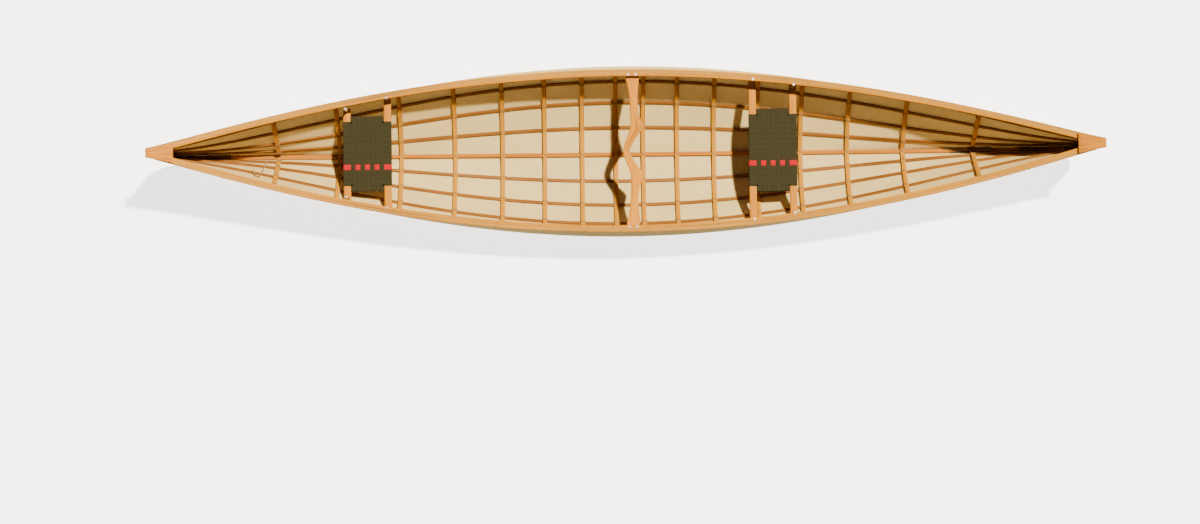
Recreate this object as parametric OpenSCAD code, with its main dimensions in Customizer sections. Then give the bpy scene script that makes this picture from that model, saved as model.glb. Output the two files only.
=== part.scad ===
// Skin-on-frame tandem canoe: steam-bent ribs and lashed stringers inside a stretched fabric skin.
// Frame: +X to the bow, +Y to port, +Z up. Origin under the middle of the keel, on the floor.

/* [Hull] */
// Length over the end decks
length_overall = 4650; // [4200:10:5200]
// Breadth over the outwales amidships
gunwale_beam = 800; // [700:2:900]
// Height of the gunwale top amidships
depth_mid = 325; // [290:1:390]
// Height of the gunwale top at the stems
depth_end = 545; // [500:1:640]
// Rise of the keel from its flat middle to the stem foot
rocker = 68; // [40:1:90]
// Half-length of the keel's flat middle
flat_run = 300; // [100:10:500]
// Length of the curved forefoot
forefoot_len = 215; // [150:5:260]
// Height of the curved forefoot
forefoot_h = 186; // [140:2:220]

/* [Skin] */
// Thickness of the coated fabric
skin_t = 1.4; // [0.8:0.1:3]

/* [Longitudinals] */
// Width of a stringer
stringer_w = 16.5; // [12:0.5:22]
// Thickness of a stringer
stringer_t = 9; // [6:0.5:14]
// Width of the keel batten
keel_w = 20; // [16:0.5:30]
// Thickness of the keel batten
keel_t = 13; // [9:0.5:20]
// Width of the inwale
inwale_w = 20; // [14:0.5:26]
// Height of the inwale
inwale_h = 24; // [18:0.5:34]
// Width of the outwale
outwale_w = 12; // [8:0.5:18]
// Height of the outwale
outwale_h = 19; // [14:0.5:28]

/* [Ribs] */
// Middle of the two ribs that stand beside the yoke
rib_mid_x = 24; // [0:1:40]
// Spaces between the ribs, from the middle to the bow: the first is half a space
bow_rib_spaces = [69, 169, 185, 216, 218, 233, 278, 345];
// Spaces between the ribs, from the middle to the stern: the first is half a space
stern_rib_spaces = [69, 168, 188, 211, 238, 269, 307, 302];
// Width of a rib
rib_w = 21; // [14:0.5:26]
// Thickness of a rib
rib_t = 6.5; // [4:0.5:9]

/* [Stems and decks] */
// Thickness of a stem across the hull
stem_w = 22; // [16:0.5:30]
// Depth of a stem fore and aft
stem_d = 32; // [24:1:44]
// Length of the heel that laps over the keel
heel_len = 130; // [80:5:180]
// Length of an end deck
deck_len = 128; // [100:2:170]
// Width of a deck at its inner end
deck_wide = 100; // [80:2:120]
// Width of a deck at its tip
deck_tip = 46; // [30:1:60]
// Thickness of a deck
deck_t = 14; // [8:1:20]

/* [Seats] */
// Middle of the stern seat along the hull
stern_seat_x = -1272; // [-1290:2:-1260]
// Middle of the bow seat along the hull
bow_seat_x = 731; // [724:1:734]
// Distance between the two bars of a seat, centre to centre
seat_bar_gap = 200; // [170:2:205]
// How far the stern seat's bar tops hang below the gunwale amidships
stern_seat_drop = 43; // [38:1:52]
// How far the bow seat's bar tops hang below the gunwale amidships
bow_seat_drop = 85; // [75:1:93]
// Width of a seat bar
bar_w = 36; // [28:1:40]
// Thickness of a seat bar
bar_t = 20; // [16:1:24]
// Width of a seat rail
rail_w = 22; // [16:1:28]
// Width of the woven part of the stern seat over its bars
stern_weave = 318; // [280:2:330]
// Width of the woven part of the bow seat over its bars
bow_weave = 357; // [320:2:380]
// Thickness of the doubled webbing
web_t = 3; // [2:0.5:5]

/* [Yoke] */
// Thickness of the carrying yoke
yoke_t = 20; // [14:1:26]
// Middle of the yoke along the hull
yoke_x = 36; // [20:1:50]
// Width of the yoke at the gunwales
yoke_end_w = 73; // [60:1:84]
// Width of the yoke at its shoulder pads
yoke_pad_w = 66; // [56:1:80]
// Width of the yoke at the neck
yoke_neck_w = 36; // [28:1:46]
// Depth of the neck notch
yoke_notch = 32; // [20:1:40]

/* [Fasteners] */
// Radius of a bolt shank
bolt_r = 3; // [2:0.25:4]
// Radius of a bolt head
bolt_head_r = 6; // [4:0.5:8]
// Radius of a seat spacer
spacer_r = 8.5; // [7:0.5:10]
// Radius of a screw head
screw_head_r = 3.5; // [2.5:0.25:5]
// Screws along each outwale
outwale_screws_per_side = 12; // [8:1:16]

/* [Cords] */
// Diameter of the stern lashing cord
stern_cord_d = 6; // [4:0.5:8]
// Diameter of the bow lashing cord
bow_cord_d = 4.5; // [4:0.5:6]

/* [Hidden] */
rib_count = len(stern_rib_spaces) + len(bow_rib_spaces);
steps = 18;            // stations from the middle to one end
skin_rows = steps + 1;
skin_seams = [-skin_rows, -12, -8, -5, -2, 2, 5, 8, 12, skin_rows];  // stations where two lengths of skin meet
skin_seam_gap = 0.4;

gap = 0.2;             // clearance between pieces that are lashed or laid together
hole_gap = 0.2;        // radial clearance of a bolt in its hole
floor_gap = skin_t + gap;  // the keel batten lies this far above the floor
foot_z = rocker + floor_gap;
stem_back = 25;        // stringers stop this far behind the face of the stem
deck_overhang = 10;    // the deck's tip stands this far past the stem
half_len = length_overall / 2;
stem_x_max = half_len - deck_overhang - skin_t - gap;
foot_x = stem_x_max - forefoot_len;
recurve = 9;           // the stem leans in this much at its top
light_wood = "sandybrown";
cedar = "sienna";
ash = "burlywood";

// Lines of the hull, from the keel up: keel, stringers 4 (lowest) to 1 (highest), gunwale.
// Each has a half-breadth and a height amidships, a height on the stem, and how full it is.
sheer_y = gunwale_beam / 2 - outwale_w - gap - skin_t;  // inner face of the skin at the gunwale
beam_mid = [keel_w / 2, 0.34 * gunwale_beam / 2, 0.65 * gunwale_beam / 2,
    0.893 * gunwale_beam / 2, 1.047 * gunwale_beam / 2, sheer_y];
z_mid = [floor_gap, 0.046 * depth_mid, 0.209 * depth_mid, 0.483 * depth_mid, 0.763 * depth_mid, depth_mid];
z_end = [for (share = [0, 0.197, 0.407, 0.612, 0.797, 1]) foot_z + share * (depth_end - foot_z)];
full_y = [1, 2.6, 2.0, 1.52, 1.22, 1.06];
full_z = [2, 2.2, 2.9, 3.2, 2.9, 2.9];
end_y = stem_w / 2 + stringer_t + 3 * gap;              // skin beside the stem, outside a stringer

function ease(a) = max(0, min(1, a));
function unit(v) = v / norm(v);
// Face of the stem at height z: an elliptic forefoot, then nearly plumb with a slight recurve
function stem_x(z) = let (a = ease((z - foot_z) / forefoot_h),
    b = ease((z - foot_z - forefoot_h) / (depth_end - foot_z - forefoot_h)))
    foot_x + forefoot_len * sqrt(1 - (1 - a) * (1 - a)) - recurve * b * b;
function line_end_x(k) = stem_x(z_end[k]) - stem_back;
// A point of line k at its own share s of its length, s from -1 to 1: (x, y, z) on the port side
function line_y(k, s) = k == 0 ? beam_mid[0]
    : end_y + (beam_mid[k] - end_y) * pow(1 - min(1, s * s), full_y[k]);
function line_z(k, s) = k == 0
    ? floor_gap + rocker * pow(ease((abs(s) * line_end_x(0) - flat_run) / (line_end_x(0) - flat_run)), full_z[0])
    : z_mid[k] + (z_end[k] - z_mid[k]) * pow(abs(s), full_z[k]);
function line_at(k, s) = [s * line_end_x(k), line_y(k, s), line_z(k, s)];
function station(i) = let (t = i / steps) 0.5 * t + 0.5 * sin(90 * t);
function clamp_s(k, x) = max(-1, min(1, x / line_end_x(k)));
// Direction up the girth of the hull at line k, in the plane across the hull
function up_at(k, x) = k == 0 ? [0, 1, 0] : k == 5 ? [0, 0, 1] :
    let (a = line_at(k - 1, clamp_s(k - 1, x)), b = line_at(k + 1, clamp_s(k + 1, x)))
    unit([0, b.y - a.y, b.z - a.z]);
function out_of(up) = [0, up.z, -up.y];
function on_line(k, x) = line_at(k, clamp_s(k, x));
// A corner of the stringer on line k: side -1 low, 1 high; depth in from its outer face.
// On line 5, the gunwale, the low corner is the lower edge of the inwale.
function corner(k, x, side, depth) = k == 5 ? on_line(5, x) - [0, depth, side < 0 ? inwale_h : 0] :
    let (up = up_at(k, x)) on_line(k, x) + side * stringer_w / 2 * up - depth * out_of(up);

// A closed tube whose rings all have the same number of points
module loft(rings) {
    n = len(rings[0]);
    last = len(rings) - 1;
    polyhedron([for (r = rings) for (p = r) p], concat(
        [[for (j = [0:n - 1]) j]],
        [for (i = [0:last - 1], j = [0:n - 1]) let (a = i * n + j, b = i * n + (j + 1) % n)
            each [[a, a + n, b + n], [a, b + n, b]]],
        [[for (j = [n - 1:-1:0]) last * n + j]]), convexity = 6);
}
module port_or_starboard(side) {
    if (side > 0) children();
    else mirror([0, 1, 0]) children();
}

// Skin: cloth in lengths that meet edge to edge, number 1 at the stern.
// Girth points run from the keel to the gunwale on one side, at share s of the length.
// Each entry is [line below, line above, share between them].
girth = concat([[0, 0, 0]], [for (f = [0.04, 0.15, 0.35, 0.65]) [0, 1, f]], [[1, 1, -1], [1, 1, 1]],
    [for (k = [2:5]) each [[k - 1, k, 0.5], [k, k, -1], [k, k, 1]]]);
function blend(a, b, f) = a + (b - a) * f;
function line_edge_z(k, side) = k == 0 ? z_end[0] : k == 5 ? z_end[5] - (side < 0 ? inwale_h : 0)
    : z_end[k] + side * stringer_w / 2;
function skin_end_z(g) = g[0] == g[1] ? line_edge_z(g[0], g[2])
    : blend(line_edge_z(g[0], 1), line_edge_z(g[1], -1), g[2]);
function skin_plain(g, s) = g[0] == g[1]
    ? (g[0] == 0 ? line_at(0, s) : corner(g[0], s * line_end_x(g[0]), g[2], 0))
    : blend(skin_plain([g[0], g[0], 1], s), skin_plain([g[1], g[1], -1], s), g[2]);
// Toward the stem the panels between the stringers are drawn out to the curve of the forefoot
function skin_inner(g, s) = let (z = skin_end_z(g), p = skin_plain(g, s), e = skin_plain(g, 1),
    w = g[0] == g[1] && g[0] > 0 ? 0 : pow(ease((s - 0.8) / 0.2), 2))
    p + w * ([stem_x(z) - stem_back, max(e.y, stem_w / 2 + gap), z] - e);
function skin_half(i) = i > steps
    ? [for (g = girth) let (z = skin_end_z(g)) [stem_x(z) + gap, stem_w / 2 + gap, z]]
    : [for (g = girth) skin_inner(g, station(i))];
function skin_row(i) = let (half = skin_half(abs(i)), e = i < 0 ? -1 : 1, m = len(half) - 1)
    concat([for (j = [m:-1:0]) [e * half[j].x, -half[j].y, half[j].z]],
        [for (j = [0:m]) [e * half[j].x, half[j].y, half[j].z]]);
function skin_normal(rows, i, j) = let (r = len(rows) - 1, m = len(rows[0]) - 1,
    along = rows[min(r, i + 1)][j] - rows[max(0, i - 1)][j],
    across = rows[i][min(m, j + 1)] - rows[i][max(0, j - 1)], n = unit(cross(across, along)))
    i == 0 || i == r ? unit([i == 0 ? -1 : 1, rows[i][j].y > 0 ? 0.4 : -0.4, j * 2 > m - 3
        && j * 2 < m + 3 ? -0.6 : 0]) : n;
module skin(part) {
    rows = [for (i = [-skin_rows:skin_rows]) skin_row(i)];
    m = len(rows[0]);
    half = m / 2;
    first = skin_seams[part - 1] + skin_rows;
    last = skin_seams[part] + skin_rows;
    at_stern = part == 1;
    at_bow = part == len(skin_seams) - 1;
    function nudge(i) = skin_seam_gap / 2 * [(i == first && !at_stern ? 1 : 0) - (i == last && !at_bow ? 1 : 0), 0, 0];
    normals = [for (i = [first:last]) [for (j = [0:m - 1]) skin_normal(rows, i, j)]];
    inner = [for (i = [first:last], j = [0:m - 1]) rows[i][j] + nudge(i) + gap * normals[i - first][j]];
    outer = [for (i = [first:last], j = [0:m - 1])
        rows[i][j] + nudge(i) + (gap + skin_t) * normals[i - first][j]];
    r = last - first + 1;
    n = r * m;
    walls = [for (i = [0:r - 2], j = [0:m - 2]) let (a = i * m + j, b = a + m)
        each (j < half - 1 ? [[a, b, a + 1], [b, b + 1, a + 1], [n + a + 1, n + b, n + a],
            [n + a + 1, n + b + 1, n + b]] : [[a, b, b + 1], [a, b + 1, a + 1],
            [n + b + 1, n + b, n + a], [n + a + 1, n + b + 1, n + a]])];
    rims = [for (i = [0:r - 2]) let (a = i * m, b = a + m, c = a + m - 1, d = c + m)
        each [[a, n + a, n + b], [a, n + b, b], [d, n + d, n + c], [d, n + c, c]]];
    stern_fold = [for (j = [0:half - 2]) let (a = j, c = m - 1 - j)
        each [[a, a + 1, c - 1], [a, c - 1, c], [n + c - 1, n + a + 1, n + a], [n + c, n + c - 1, n + a]]];
    bow_fold = [for (j = [0:half - 2]) let (a = n - m + j, c = n - 1 - j)
        each [[c - 1, a + 1, a], [c, c - 1, a], [n + a, n + a + 1, n + c - 1], [n + a, n + c - 1, n + c]]];
    stern_edge = [for (j = [0:m - 2]) each [[j, j + 1, n + j + 1], [j, n + j + 1, n + j]]];
    bow_edge = [for (j = [0:m - 2]) let (b = n - m + j) each [[b + 1, b, n + b], [b + 1, n + b, n + b + 1]]];
    color("wheat") polyhedron(concat(inner, outer), concat(walls, rims,
        at_stern ? concat(stern_fold, [[m - 1, n + m - 1, n], [m - 1, n, 0]]) : stern_edge,
        at_bow ? concat(bow_fold, [[n - m, 2 * n - m, 2 * n - 1], [n - m, 2 * n - 1, n - 1]]) : bow_edge),
        convexity = 8);
}

// Keel: a flat batten on the centre line, its underside on the skin
module keel() {
    x_end = line_end_x(0);
    color("peru") loft([for (i = [-steps:steps]) let (x = sign(i) * station(abs(i)) * x_end,
        z = line_z(0, station(abs(i))))
        [[x, -keel_w / 2, z], [x, keel_w / 2, z], [x, keel_w / 2, z + keel_t], [x, -keel_w / 2, z + keel_t]]]);
}

// Stringers, number 1 under the gunwale and number 4 beside the keel
module stringer(k, side) {
    line = 5 - k;
    color(cedar) port_or_starboard(side) loft([for (i = [-steps:steps])
        let (x = sign(i) * station(abs(i)) * line_end_x(line))
        [corner(line, x, -1, 0), corner(line, x, 1, 0), corner(line, x, 1, stringer_t),
            corner(line, x, -1, stringer_t)]]);
}

// Gunwales: the inwale tapers beside the stem, the outwale covers the edge of the skin
function rail_x(i) = sign(i) * station(abs(i)) * line_end_x(5);
function inwale_in(y) = max(y - inwale_w, stem_w / 2 + gap);
module inwale_bar() {
    loft([for (i = [-steps:steps]) let (x = rail_x(i), p = on_line(5, x), y = p.y - gap, n = inwale_in(y))
        [[x, n, p.z - inwale_h], [x, y, p.z - inwale_h], [x, y, p.z], [x, n, p.z]]]);
}
module outwale_bar() {
    loft([for (i = [-steps:steps]) let (x = rail_x(i), p = on_line(5, x), y = p.y + 2 * gap + skin_t)
        [[x, y, p.z - outwale_h], [x, y + outwale_w, p.z - outwale_h], [x, y + outwale_w, p.z], [x, y, p.z]]]);
}
yoke_z = depth_mid - inwale_h - gap - yoke_t;
// Half-breadth of the skin's inner face at height z
function hull_y(x, z) = let (p = [for (k = [0:5]) corner(k, x, k == 5 ? -1 : 0, 0)],
    k = max([for (i = [0:4]) if (p[i].z <= z || i == 0) i]))
    p[k].y + (p[k + 1].y - p[k].y) * (z - p[k].z) / (p[k + 1].z - p[k].z);
yoke_half = hull_y(abs(yoke_x) + yoke_end_w / 2, yoke_z + yoke_t) - 3;
yoke_bolt_x = yoke_end_w / 4;

// Bolts stand in the inner half of the inwale, or farther in where the hull narrows below it
function bolt_y(x, piece_end) = min(inwale_in(on_line(5, x).y - gap) + 0.4 * inwale_w, piece_end - 8);
bolt_spots = concat(
    [for (bow = [true, false], e = [-1, 1]) [bar_x(bow, e), bolt_y(bar_x(bow, e), bar_half(bow, e))]],
    [for (e = [-1, 1]) [yoke_x + e * yoke_bolt_x, bolt_y(yoke_x + e * yoke_bolt_x, yoke_half)]]);
module inwale(side) {
    color(light_wood) port_or_starboard(side) difference() {
        inwale_bar();
        for (p = bolt_spots) translate([p.x, p.y, 0]) cylinder(r = bolt_r + hole_gap, h = 2 * depth_end, $fn = 32);
    }
}
module outwale(side) {
    color("goldenrod") port_or_starboard(side) outwale_bar();
}

// Stems: a curved plank inside the skin whose heel laps over the keel
module stem(e) {
    face = [for (g = girth) if (g[0] + g[1] > 0 && g[0] + g[2] < 6) let (z = skin_end_z(g)) [stem_x(z), z]];
    top = [for (x = [stem_x(depth_end), stem_x(depth_end) - stem_d]) [x, deck_under(x) - gap]];
    heel_z = foot_z + keel_t + gap;
    back_x = foot_x - heel_len;
    inside = [for (i = [4:-1:0]) let (z = foot_z + forefoot_h + (depth_end - foot_z - forefoot_h) * i / 5)
        [stem_x(z) - stem_d, z]];
    inner_curve = [for (i = [11:-1:2]) let (a = 90 * i / 12)
        [foot_x + (forefoot_len - stem_d) * sin(a), heel_z + stem_d * 0.6
            + (forefoot_h - keel_t - gap - stem_d * 0.6) * (1 - cos(a))]];
    color("darkgoldenrod") mirror([e < 0 ? 1 : 0, 0, 0]) translate([0, stem_w / 2, 0]) rotate([90, 0, 0])
        linear_extrude(height = stem_w) polygon(concat(
            face, top, inside, inner_curve,
            [[back_x, heel_z + 10], [back_x, heel_z], [line_end_x(0) + gap, heel_z], [line_end_x(0) + gap, foot_z]]));
}

// Decks: a tapered plate on the gunwale ends, screwed down at its inner corners and its tip
deck_x = half_len - deck_len;
deck_slope = atan((z_end[5] - on_line(5, deck_x).z) / (line_end_x(5) - deck_x));
function deck_under(x) = on_line(5, deck_x).z + 2 * gap + (x - deck_x) * tan(deck_slope);
module at_deck(e) {
    mirror([e < 0 ? 1 : 0, 0, 0]) translate([deck_x, 0, deck_under(deck_x)])
        rotate([0, -deck_slope, 0]) children();
}
deck_spots = [[12, deck_wide / 2 - 14], [12, 14 - deck_wide / 2], [deck_len - 16, 0]];
module deck(e) {
    color("rosybrown") at_deck(e) difference() {
        linear_extrude(height = deck_t) polygon([[0, -deck_wide / 2], [deck_len / cos(deck_slope), -deck_tip / 2],
            [deck_len / cos(deck_slope), deck_tip / 2], [0, deck_wide / 2]]);
        for (p = deck_spots) translate([p.x, p.y, deck_t - 2.5])
            cylinder(r = screw_head_r + hole_gap, h = 5, $fn = 32);
    }
}
module deck_screws() {
    color("dimgray") for (e = [-1, 1], p = deck_spots) at_deck(e)
        translate([p.x, p.y, deck_t - 2.5]) cylinder(r = screw_head_r, h = 2.3, $fn = 32);
}
module outwale_screws() {
    n = outwale_screws_per_side;
    color("dimgray") for (side = [-1, 1], i = [0:n - 1]) {
        x = (2 * i + 1 - n) / n * 0.94 * line_end_x(5);
        p = on_line(5, x);
        slope = atan((on_line(5, x + 5).y - on_line(5, x - 5).y) / 10);
        port_or_starboard(side) translate([x, p.y + 2 * gap + skin_t + outwale_w + 2 * gap,
            p.z - outwale_h / 2]) rotate([-90, 0, slope]) cylinder(r = screw_head_r, h = 1.5, $fn = 32);
    }
}

// Ribs: bent strips inside the stringers, their ends under the inwales
function sum_to(list, k) = k < 0 ? 0 : list[k] + sum_to(list, k - 1);
// Ribs are numbered from the stern to the bow
function rib_x(k) = k > len(stern_rib_spaces) ? rib_mid_x + sum_to(bow_rib_spaces, k - 1 - len(stern_rib_spaces))
    : rib_mid_x - sum_to(stern_rib_spaces, len(stern_rib_spaces) - k);
rib_fill = 3;           // straight steps between two stringers
rib_bulge = 0.45;       // how far a rib bows out between two stringers
rib_gap = 0.9;          // room between a rib and a stringer for the turns of the lashing
function keel_top(x) = line_z(0, clamp_s(0, x)) + keel_t + gap;
// Stations up one side of a rib: each is a point and the direction of the rib there
function rib_stops(x, depth) = let (inner = stringer_t + rib_gap + depth, top = on_line(5, x), w = 0.8)
    concat([[[x, keel_w / 2, keel_top(x) + depth], [0, 1, 0]]],
        [for (k = [1:4], side = [-w, w]) [corner(k, x, side, inner), up_at(k, x)]],
        [[[x, top.y - gap - 4 - depth, top.z - inwale_h - gap], up_at(4, x)]]);
function bow_out(a, b, f) = let (long = rib_bulge * norm(b[0] - a[0]), g = 1 - f)
    blend(a[0], b[0], f * f * (3 - 2 * f)) + long * f * g * (g * a[1] - f * b[1]);
function rib_side(x, depth) = let (p = rib_stops(x, depth), m = len(p) - 1) concat(
    [for (i = [0:m - 1], q = [0:(i % 2 == 0 ? rib_fill - 1 : 0)]) bow_out(p[i], p[i + 1], q / rib_fill)],
    [p[m][0]]);
function rib_curve(x, depth) = let (half = rib_side(x, depth), m = len(half) - 1) concat(
    [for (j = [m:-1:0]) [half[j].x, -half[j].y, half[j].z]], half);
module rib(k) {
    x = rib_x(k);
    a = rib_curve(x - rib_w / 2, 0);
    b = rib_curve(x + rib_w / 2, 0);
    c = rib_curve(x + rib_w / 2, rib_t);
    d = rib_curve(x - rib_w / 2, rib_t);
    color(ash) loft([for (i = [0:len(a) - 1]) [a[i], b[i], c[i], d[i]]]);
}

// Yoke: a carved bar under the inwales, with a notch for the neck between two shoulder pads
module yoke() {
    shaft = 0.62 * yoke_end_w;
    // half outline from the neck to the end: place along the beam, forward edge, aft edge
    pad_end = 150;
    function arm(share) = pad_end + share * (yoke_half - pad_end);
    edges = [[0, yoke_neck_w - yoke_notch, -yoke_notch], [24, yoke_neck_w - yoke_notch + 2, -yoke_notch + 1],
        [50, 12, -yoke_notch + 4], [78, 30, -28], [105, 40, -yoke_pad_w + 40], [124, 39, -24],
        [pad_end, 30, -22], [arm(0.18), 25, -21], [arm(0.4), shaft / 2, -shaft / 2],
        [arm(0.62), shaft / 2 + 2, -shaft / 2 - 2], [arm(0.79), yoke_end_w / 2 - 8, 8 - yoke_end_w / 2],
        [yoke_half, yoke_end_w / 2, -yoke_end_w / 2]];
    n = len(edges) - 1;
    outline = concat([for (p = edges) [p[1], p[0]]], [for (i = [n:-1:0]) [edges[i][2], edges[i][0]]],
        [for (i = [1:n]) [edges[i][2], -edges[i][0]]], [for (i = [n:-1:1]) [edges[i][1], -edges[i][0]]]);
    color("sandybrown") translate([yoke_x, 0, yoke_z]) difference() {
        linear_extrude(height = yoke_t) polygon(outline);
        for (e = [-1, 1], side = [-1, 1]) translate([e * yoke_bolt_x,
            side * bolt_y(yoke_x + e * yoke_bolt_x, yoke_half), -1])
            cylinder(r = bolt_r + hole_gap, h = yoke_t + 2, $fn = 32);
    }
}

// A carriage bolt from the gunwale top down to a nut under z_low
module bolt(z_high, z_low) {
    cylinder_between(z_low - 7, z_high + gap, bolt_r);
    translate([0, 0, z_high + gap]) cylinder(r = bolt_head_r, h = 2.5, $fn = 32);
    translate([0, 0, z_low - gap - 5]) cylinder(r = bolt_head_r, h = 5, $fn = 6);
}
module cylinder_between(low, high, r) {
    translate([0, 0, low]) cylinder(r = r, h = high - low, $fn = 32);
}
module yoke_bolts() {
    color("dimgray") for (e = [-1, 1], side = [-1, 1])
        translate([yoke_x + e * yoke_bolt_x, side * bolt_y(yoke_x + e * yoke_bolt_x, yoke_half), 0])
        bolt(on_line(5, abs(yoke_x) + 2 * yoke_bolt_x).z, yoke_z);
}

// Seats: two bars hung from the inwales, two rails between them, and webbing woven over them
function seat_x(bow) = bow ? bow_seat_x : stern_seat_x;
function seat_z(bow) = depth_mid - (bow ? bow_seat_drop : stern_seat_drop);
function weave(bow) = bow ? bow_weave : stern_weave;
function bar_x(bow, e) = seat_x(bow) + e * seat_bar_gap / 2;
function bar_half(bow, e) = min([for (d = [-1, 1]) hull_y(bar_x(bow, e) + d * bar_w / 2,
    seat_z(bow) - bar_t)]) - 3;
module seat_bar(bow, e) {
    half = bar_half(bow, e);
    color("peru") translate([bar_x(bow, e), 0, seat_z(bow) - bar_t]) difference() {
        translate([-bar_w / 2, -half, 0]) cube([bar_w, 2 * half, bar_t]);
        for (side = [-1, 1]) translate([0, side * bolt_y(bar_x(bow, e), half), -1])
            cylinder(r = bolt_r + hole_gap, h = bar_t + 2, $fn = 32);
    }
}
module seat_rail(bow, side) {
    long = seat_bar_gap - bar_w - 2 * gap;
    y = side * (weave(bow) / 2 + rail_w / 2 + web_t);
    color("peru") translate([seat_x(bow) - long / 2, y - rail_w / 2, seat_z(bow) - bar_t])
        cube([long, rail_w, bar_t]);
}
module seat_webbing(bow) {
    long = seat_bar_gap + bar_w;
    between = seat_bar_gap - bar_w - 2;
    wide = weave(bow) + 2 * (rail_w + 2 * web_t);
    color("darkgreen") translate([seat_x(bow), 0, seat_z(bow) + gap]) {
        translate([-long / 2, -weave(bow) / 2, 0]) cube([long, weave(bow), web_t]);
        translate([-between / 2, -wide / 2, 0]) cube([between, wide, web_t]);
    }
}
module at_seat_bolts(bow) {
    for (e = [-1, 1], side = [-1, 1]) {
        $x = bar_x(bow, e);
        translate([$x, side * bolt_y($x, bar_half(bow, e)), 0]) children();
    }
}
module seat_spacers(bow) {
    color("burlywood") at_seat_bolts(bow) difference() {
        cylinder_between(seat_z(bow) + gap, spacer_top($x), spacer_r);
        cylinder_between(0, depth_end, bolt_r + hole_gap);
    }
}
// The lower end of the sloping inwale over the spacer
function spacer_top(x) = min(on_line(5, x - spacer_r).z, on_line(5, x + spacer_r).z) - inwale_h - 2 * gap;
module seat_bolts(bow) {
    color("dimgray") at_seat_bolts(bow)
        bolt(max(on_line(5, $x - bolt_head_r).z, on_line(5, $x + bolt_head_r).z), seat_z(bow) - bar_t);
}

// Cords: each lies along its own chosen points
cord_sides = 8;
bow_turn = [for (a = [90:-30:-90]) [1830 + 9 * cos(a), 9 * sin(a), 68.8]];
bow_cord_route = concat([[1590, 9, 53.8], [1620, 9, 55.8], [1650, 9, 57.3], [1680, 9, 59.3], [1702, 9, 61.3],
    [1716, 9, 65.8], [1726, 9, 69.3], [1748, 9, 69.8], [1760, 9, 68.3], [1776, 9, 65.3], [1805, 9, 66.8]], bow_turn,
    [[1805, -9, 66.8], [1776, -9, 65.3], [1760, -9, 68.3], [1748, -9, 69.8], [1726, -9, 69.3], [1716, -9, 65.8],
    [1702, -9, 61.3], [1680, -9, 59.3], [1650, -9, 57.3], [1630, -9, 56.3]]);
stern_cord_route = [[-1778, 0, 66], [-1779, -5, 76], [-1781, -12, 93], [-1783, -18, 108], [-1787, -31, 139],
    [-1790, -45, 170], [-1794, -66, 214], [-1798, -87, 258], [-1801, -96, 275], [-1804, -103, 287],
    [-1810, -107, 293], [-1818, -106, 293], [-1826, -99, 287], [-1832, -90, 279], [-1837, -82, 275],
    [-1841, -77, 267]];
module cord(route, d) {
    n = len(route) - 1;
    color("khaki") loft([for (i = [0:n]) let (t = unit(route[min(n, i + 1)] - route[max(0, i - 1)]),
        u = unit(cross(t, [0.3, 1, 0])), v = cross(t, u))
        [for (j = [0:cord_sides - 1]) let (a = 360 * j / cord_sides)
            route[i] + d / 2 * (cos(a) * u + sin(a) * v)]]);
}

for (k = [1:len(skin_seams) - 1]) skin(k);
keel();
for (k = [1:4]) {
    stringer(k, 1);
    stringer(k, -1);
}
inwale(1);  // inwale_port
inwale(-1);  // inwale_starboard
outwale(1);  // outwale_port
outwale(-1);  // outwale_starboard
stem(1);  // bow_stem
stem(-1);  // stern_stem
deck(1);  // bow_deck
deck(-1);  // stern_deck
deck_screws();
outwale_screws();
for (k = [1:rib_count]) rib(k);
yoke();
yoke_bolts();
for (bow = [true, false]) {
    name = bow ? "bow_seat_" : "stern_seat_";
    seat_bar(bow, 1);
    seat_bar(bow, -1);
    seat_rail(bow, 1);
    seat_rail(bow, -1);
    seat_webbing(bow);
    seat_spacers(bow);
    seat_bolts(bow);
}
cord(bow_cord_route, bow_cord_d);  // bow_cord
cord(stern_cord_route, stern_cord_d);  // stern_cord
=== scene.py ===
"""Looks of a skin-on-frame tandem canoe: coated cloth over bent ribs and lashed stringers.

Every size is in metres, in the frame of the CAD model: +X to the bow, +Y to port, +Z up.
"""

from __future__ import annotations

import logging
import math
from collections.abc import Iterable, Sequence
from dataclasses import dataclass, field
from enum import Enum

import bmesh
import bpy
import numpy as np
from numpy.typing import NDArray
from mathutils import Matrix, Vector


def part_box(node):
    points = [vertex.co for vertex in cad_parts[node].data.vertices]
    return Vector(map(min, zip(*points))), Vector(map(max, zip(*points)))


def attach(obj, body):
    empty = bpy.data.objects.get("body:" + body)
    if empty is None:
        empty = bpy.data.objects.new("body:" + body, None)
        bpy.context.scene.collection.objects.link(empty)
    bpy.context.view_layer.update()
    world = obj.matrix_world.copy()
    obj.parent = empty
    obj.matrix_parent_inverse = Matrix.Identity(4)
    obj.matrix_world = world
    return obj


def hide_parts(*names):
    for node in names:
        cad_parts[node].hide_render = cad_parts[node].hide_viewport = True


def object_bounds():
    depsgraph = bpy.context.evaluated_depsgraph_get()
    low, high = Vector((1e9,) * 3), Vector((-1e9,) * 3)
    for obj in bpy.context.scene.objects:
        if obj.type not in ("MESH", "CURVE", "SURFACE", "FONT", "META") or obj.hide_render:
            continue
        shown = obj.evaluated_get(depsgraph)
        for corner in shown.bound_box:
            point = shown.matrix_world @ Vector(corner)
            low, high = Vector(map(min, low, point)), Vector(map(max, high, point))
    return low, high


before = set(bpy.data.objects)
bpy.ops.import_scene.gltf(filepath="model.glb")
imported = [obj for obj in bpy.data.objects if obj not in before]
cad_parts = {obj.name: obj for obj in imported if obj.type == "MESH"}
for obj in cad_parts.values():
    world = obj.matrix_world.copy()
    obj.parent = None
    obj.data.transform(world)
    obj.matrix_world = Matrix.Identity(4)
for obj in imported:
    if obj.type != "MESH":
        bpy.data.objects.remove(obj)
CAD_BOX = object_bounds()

Array = NDArray[np.float64]
Socket = bpy.types.NodeSocket

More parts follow.
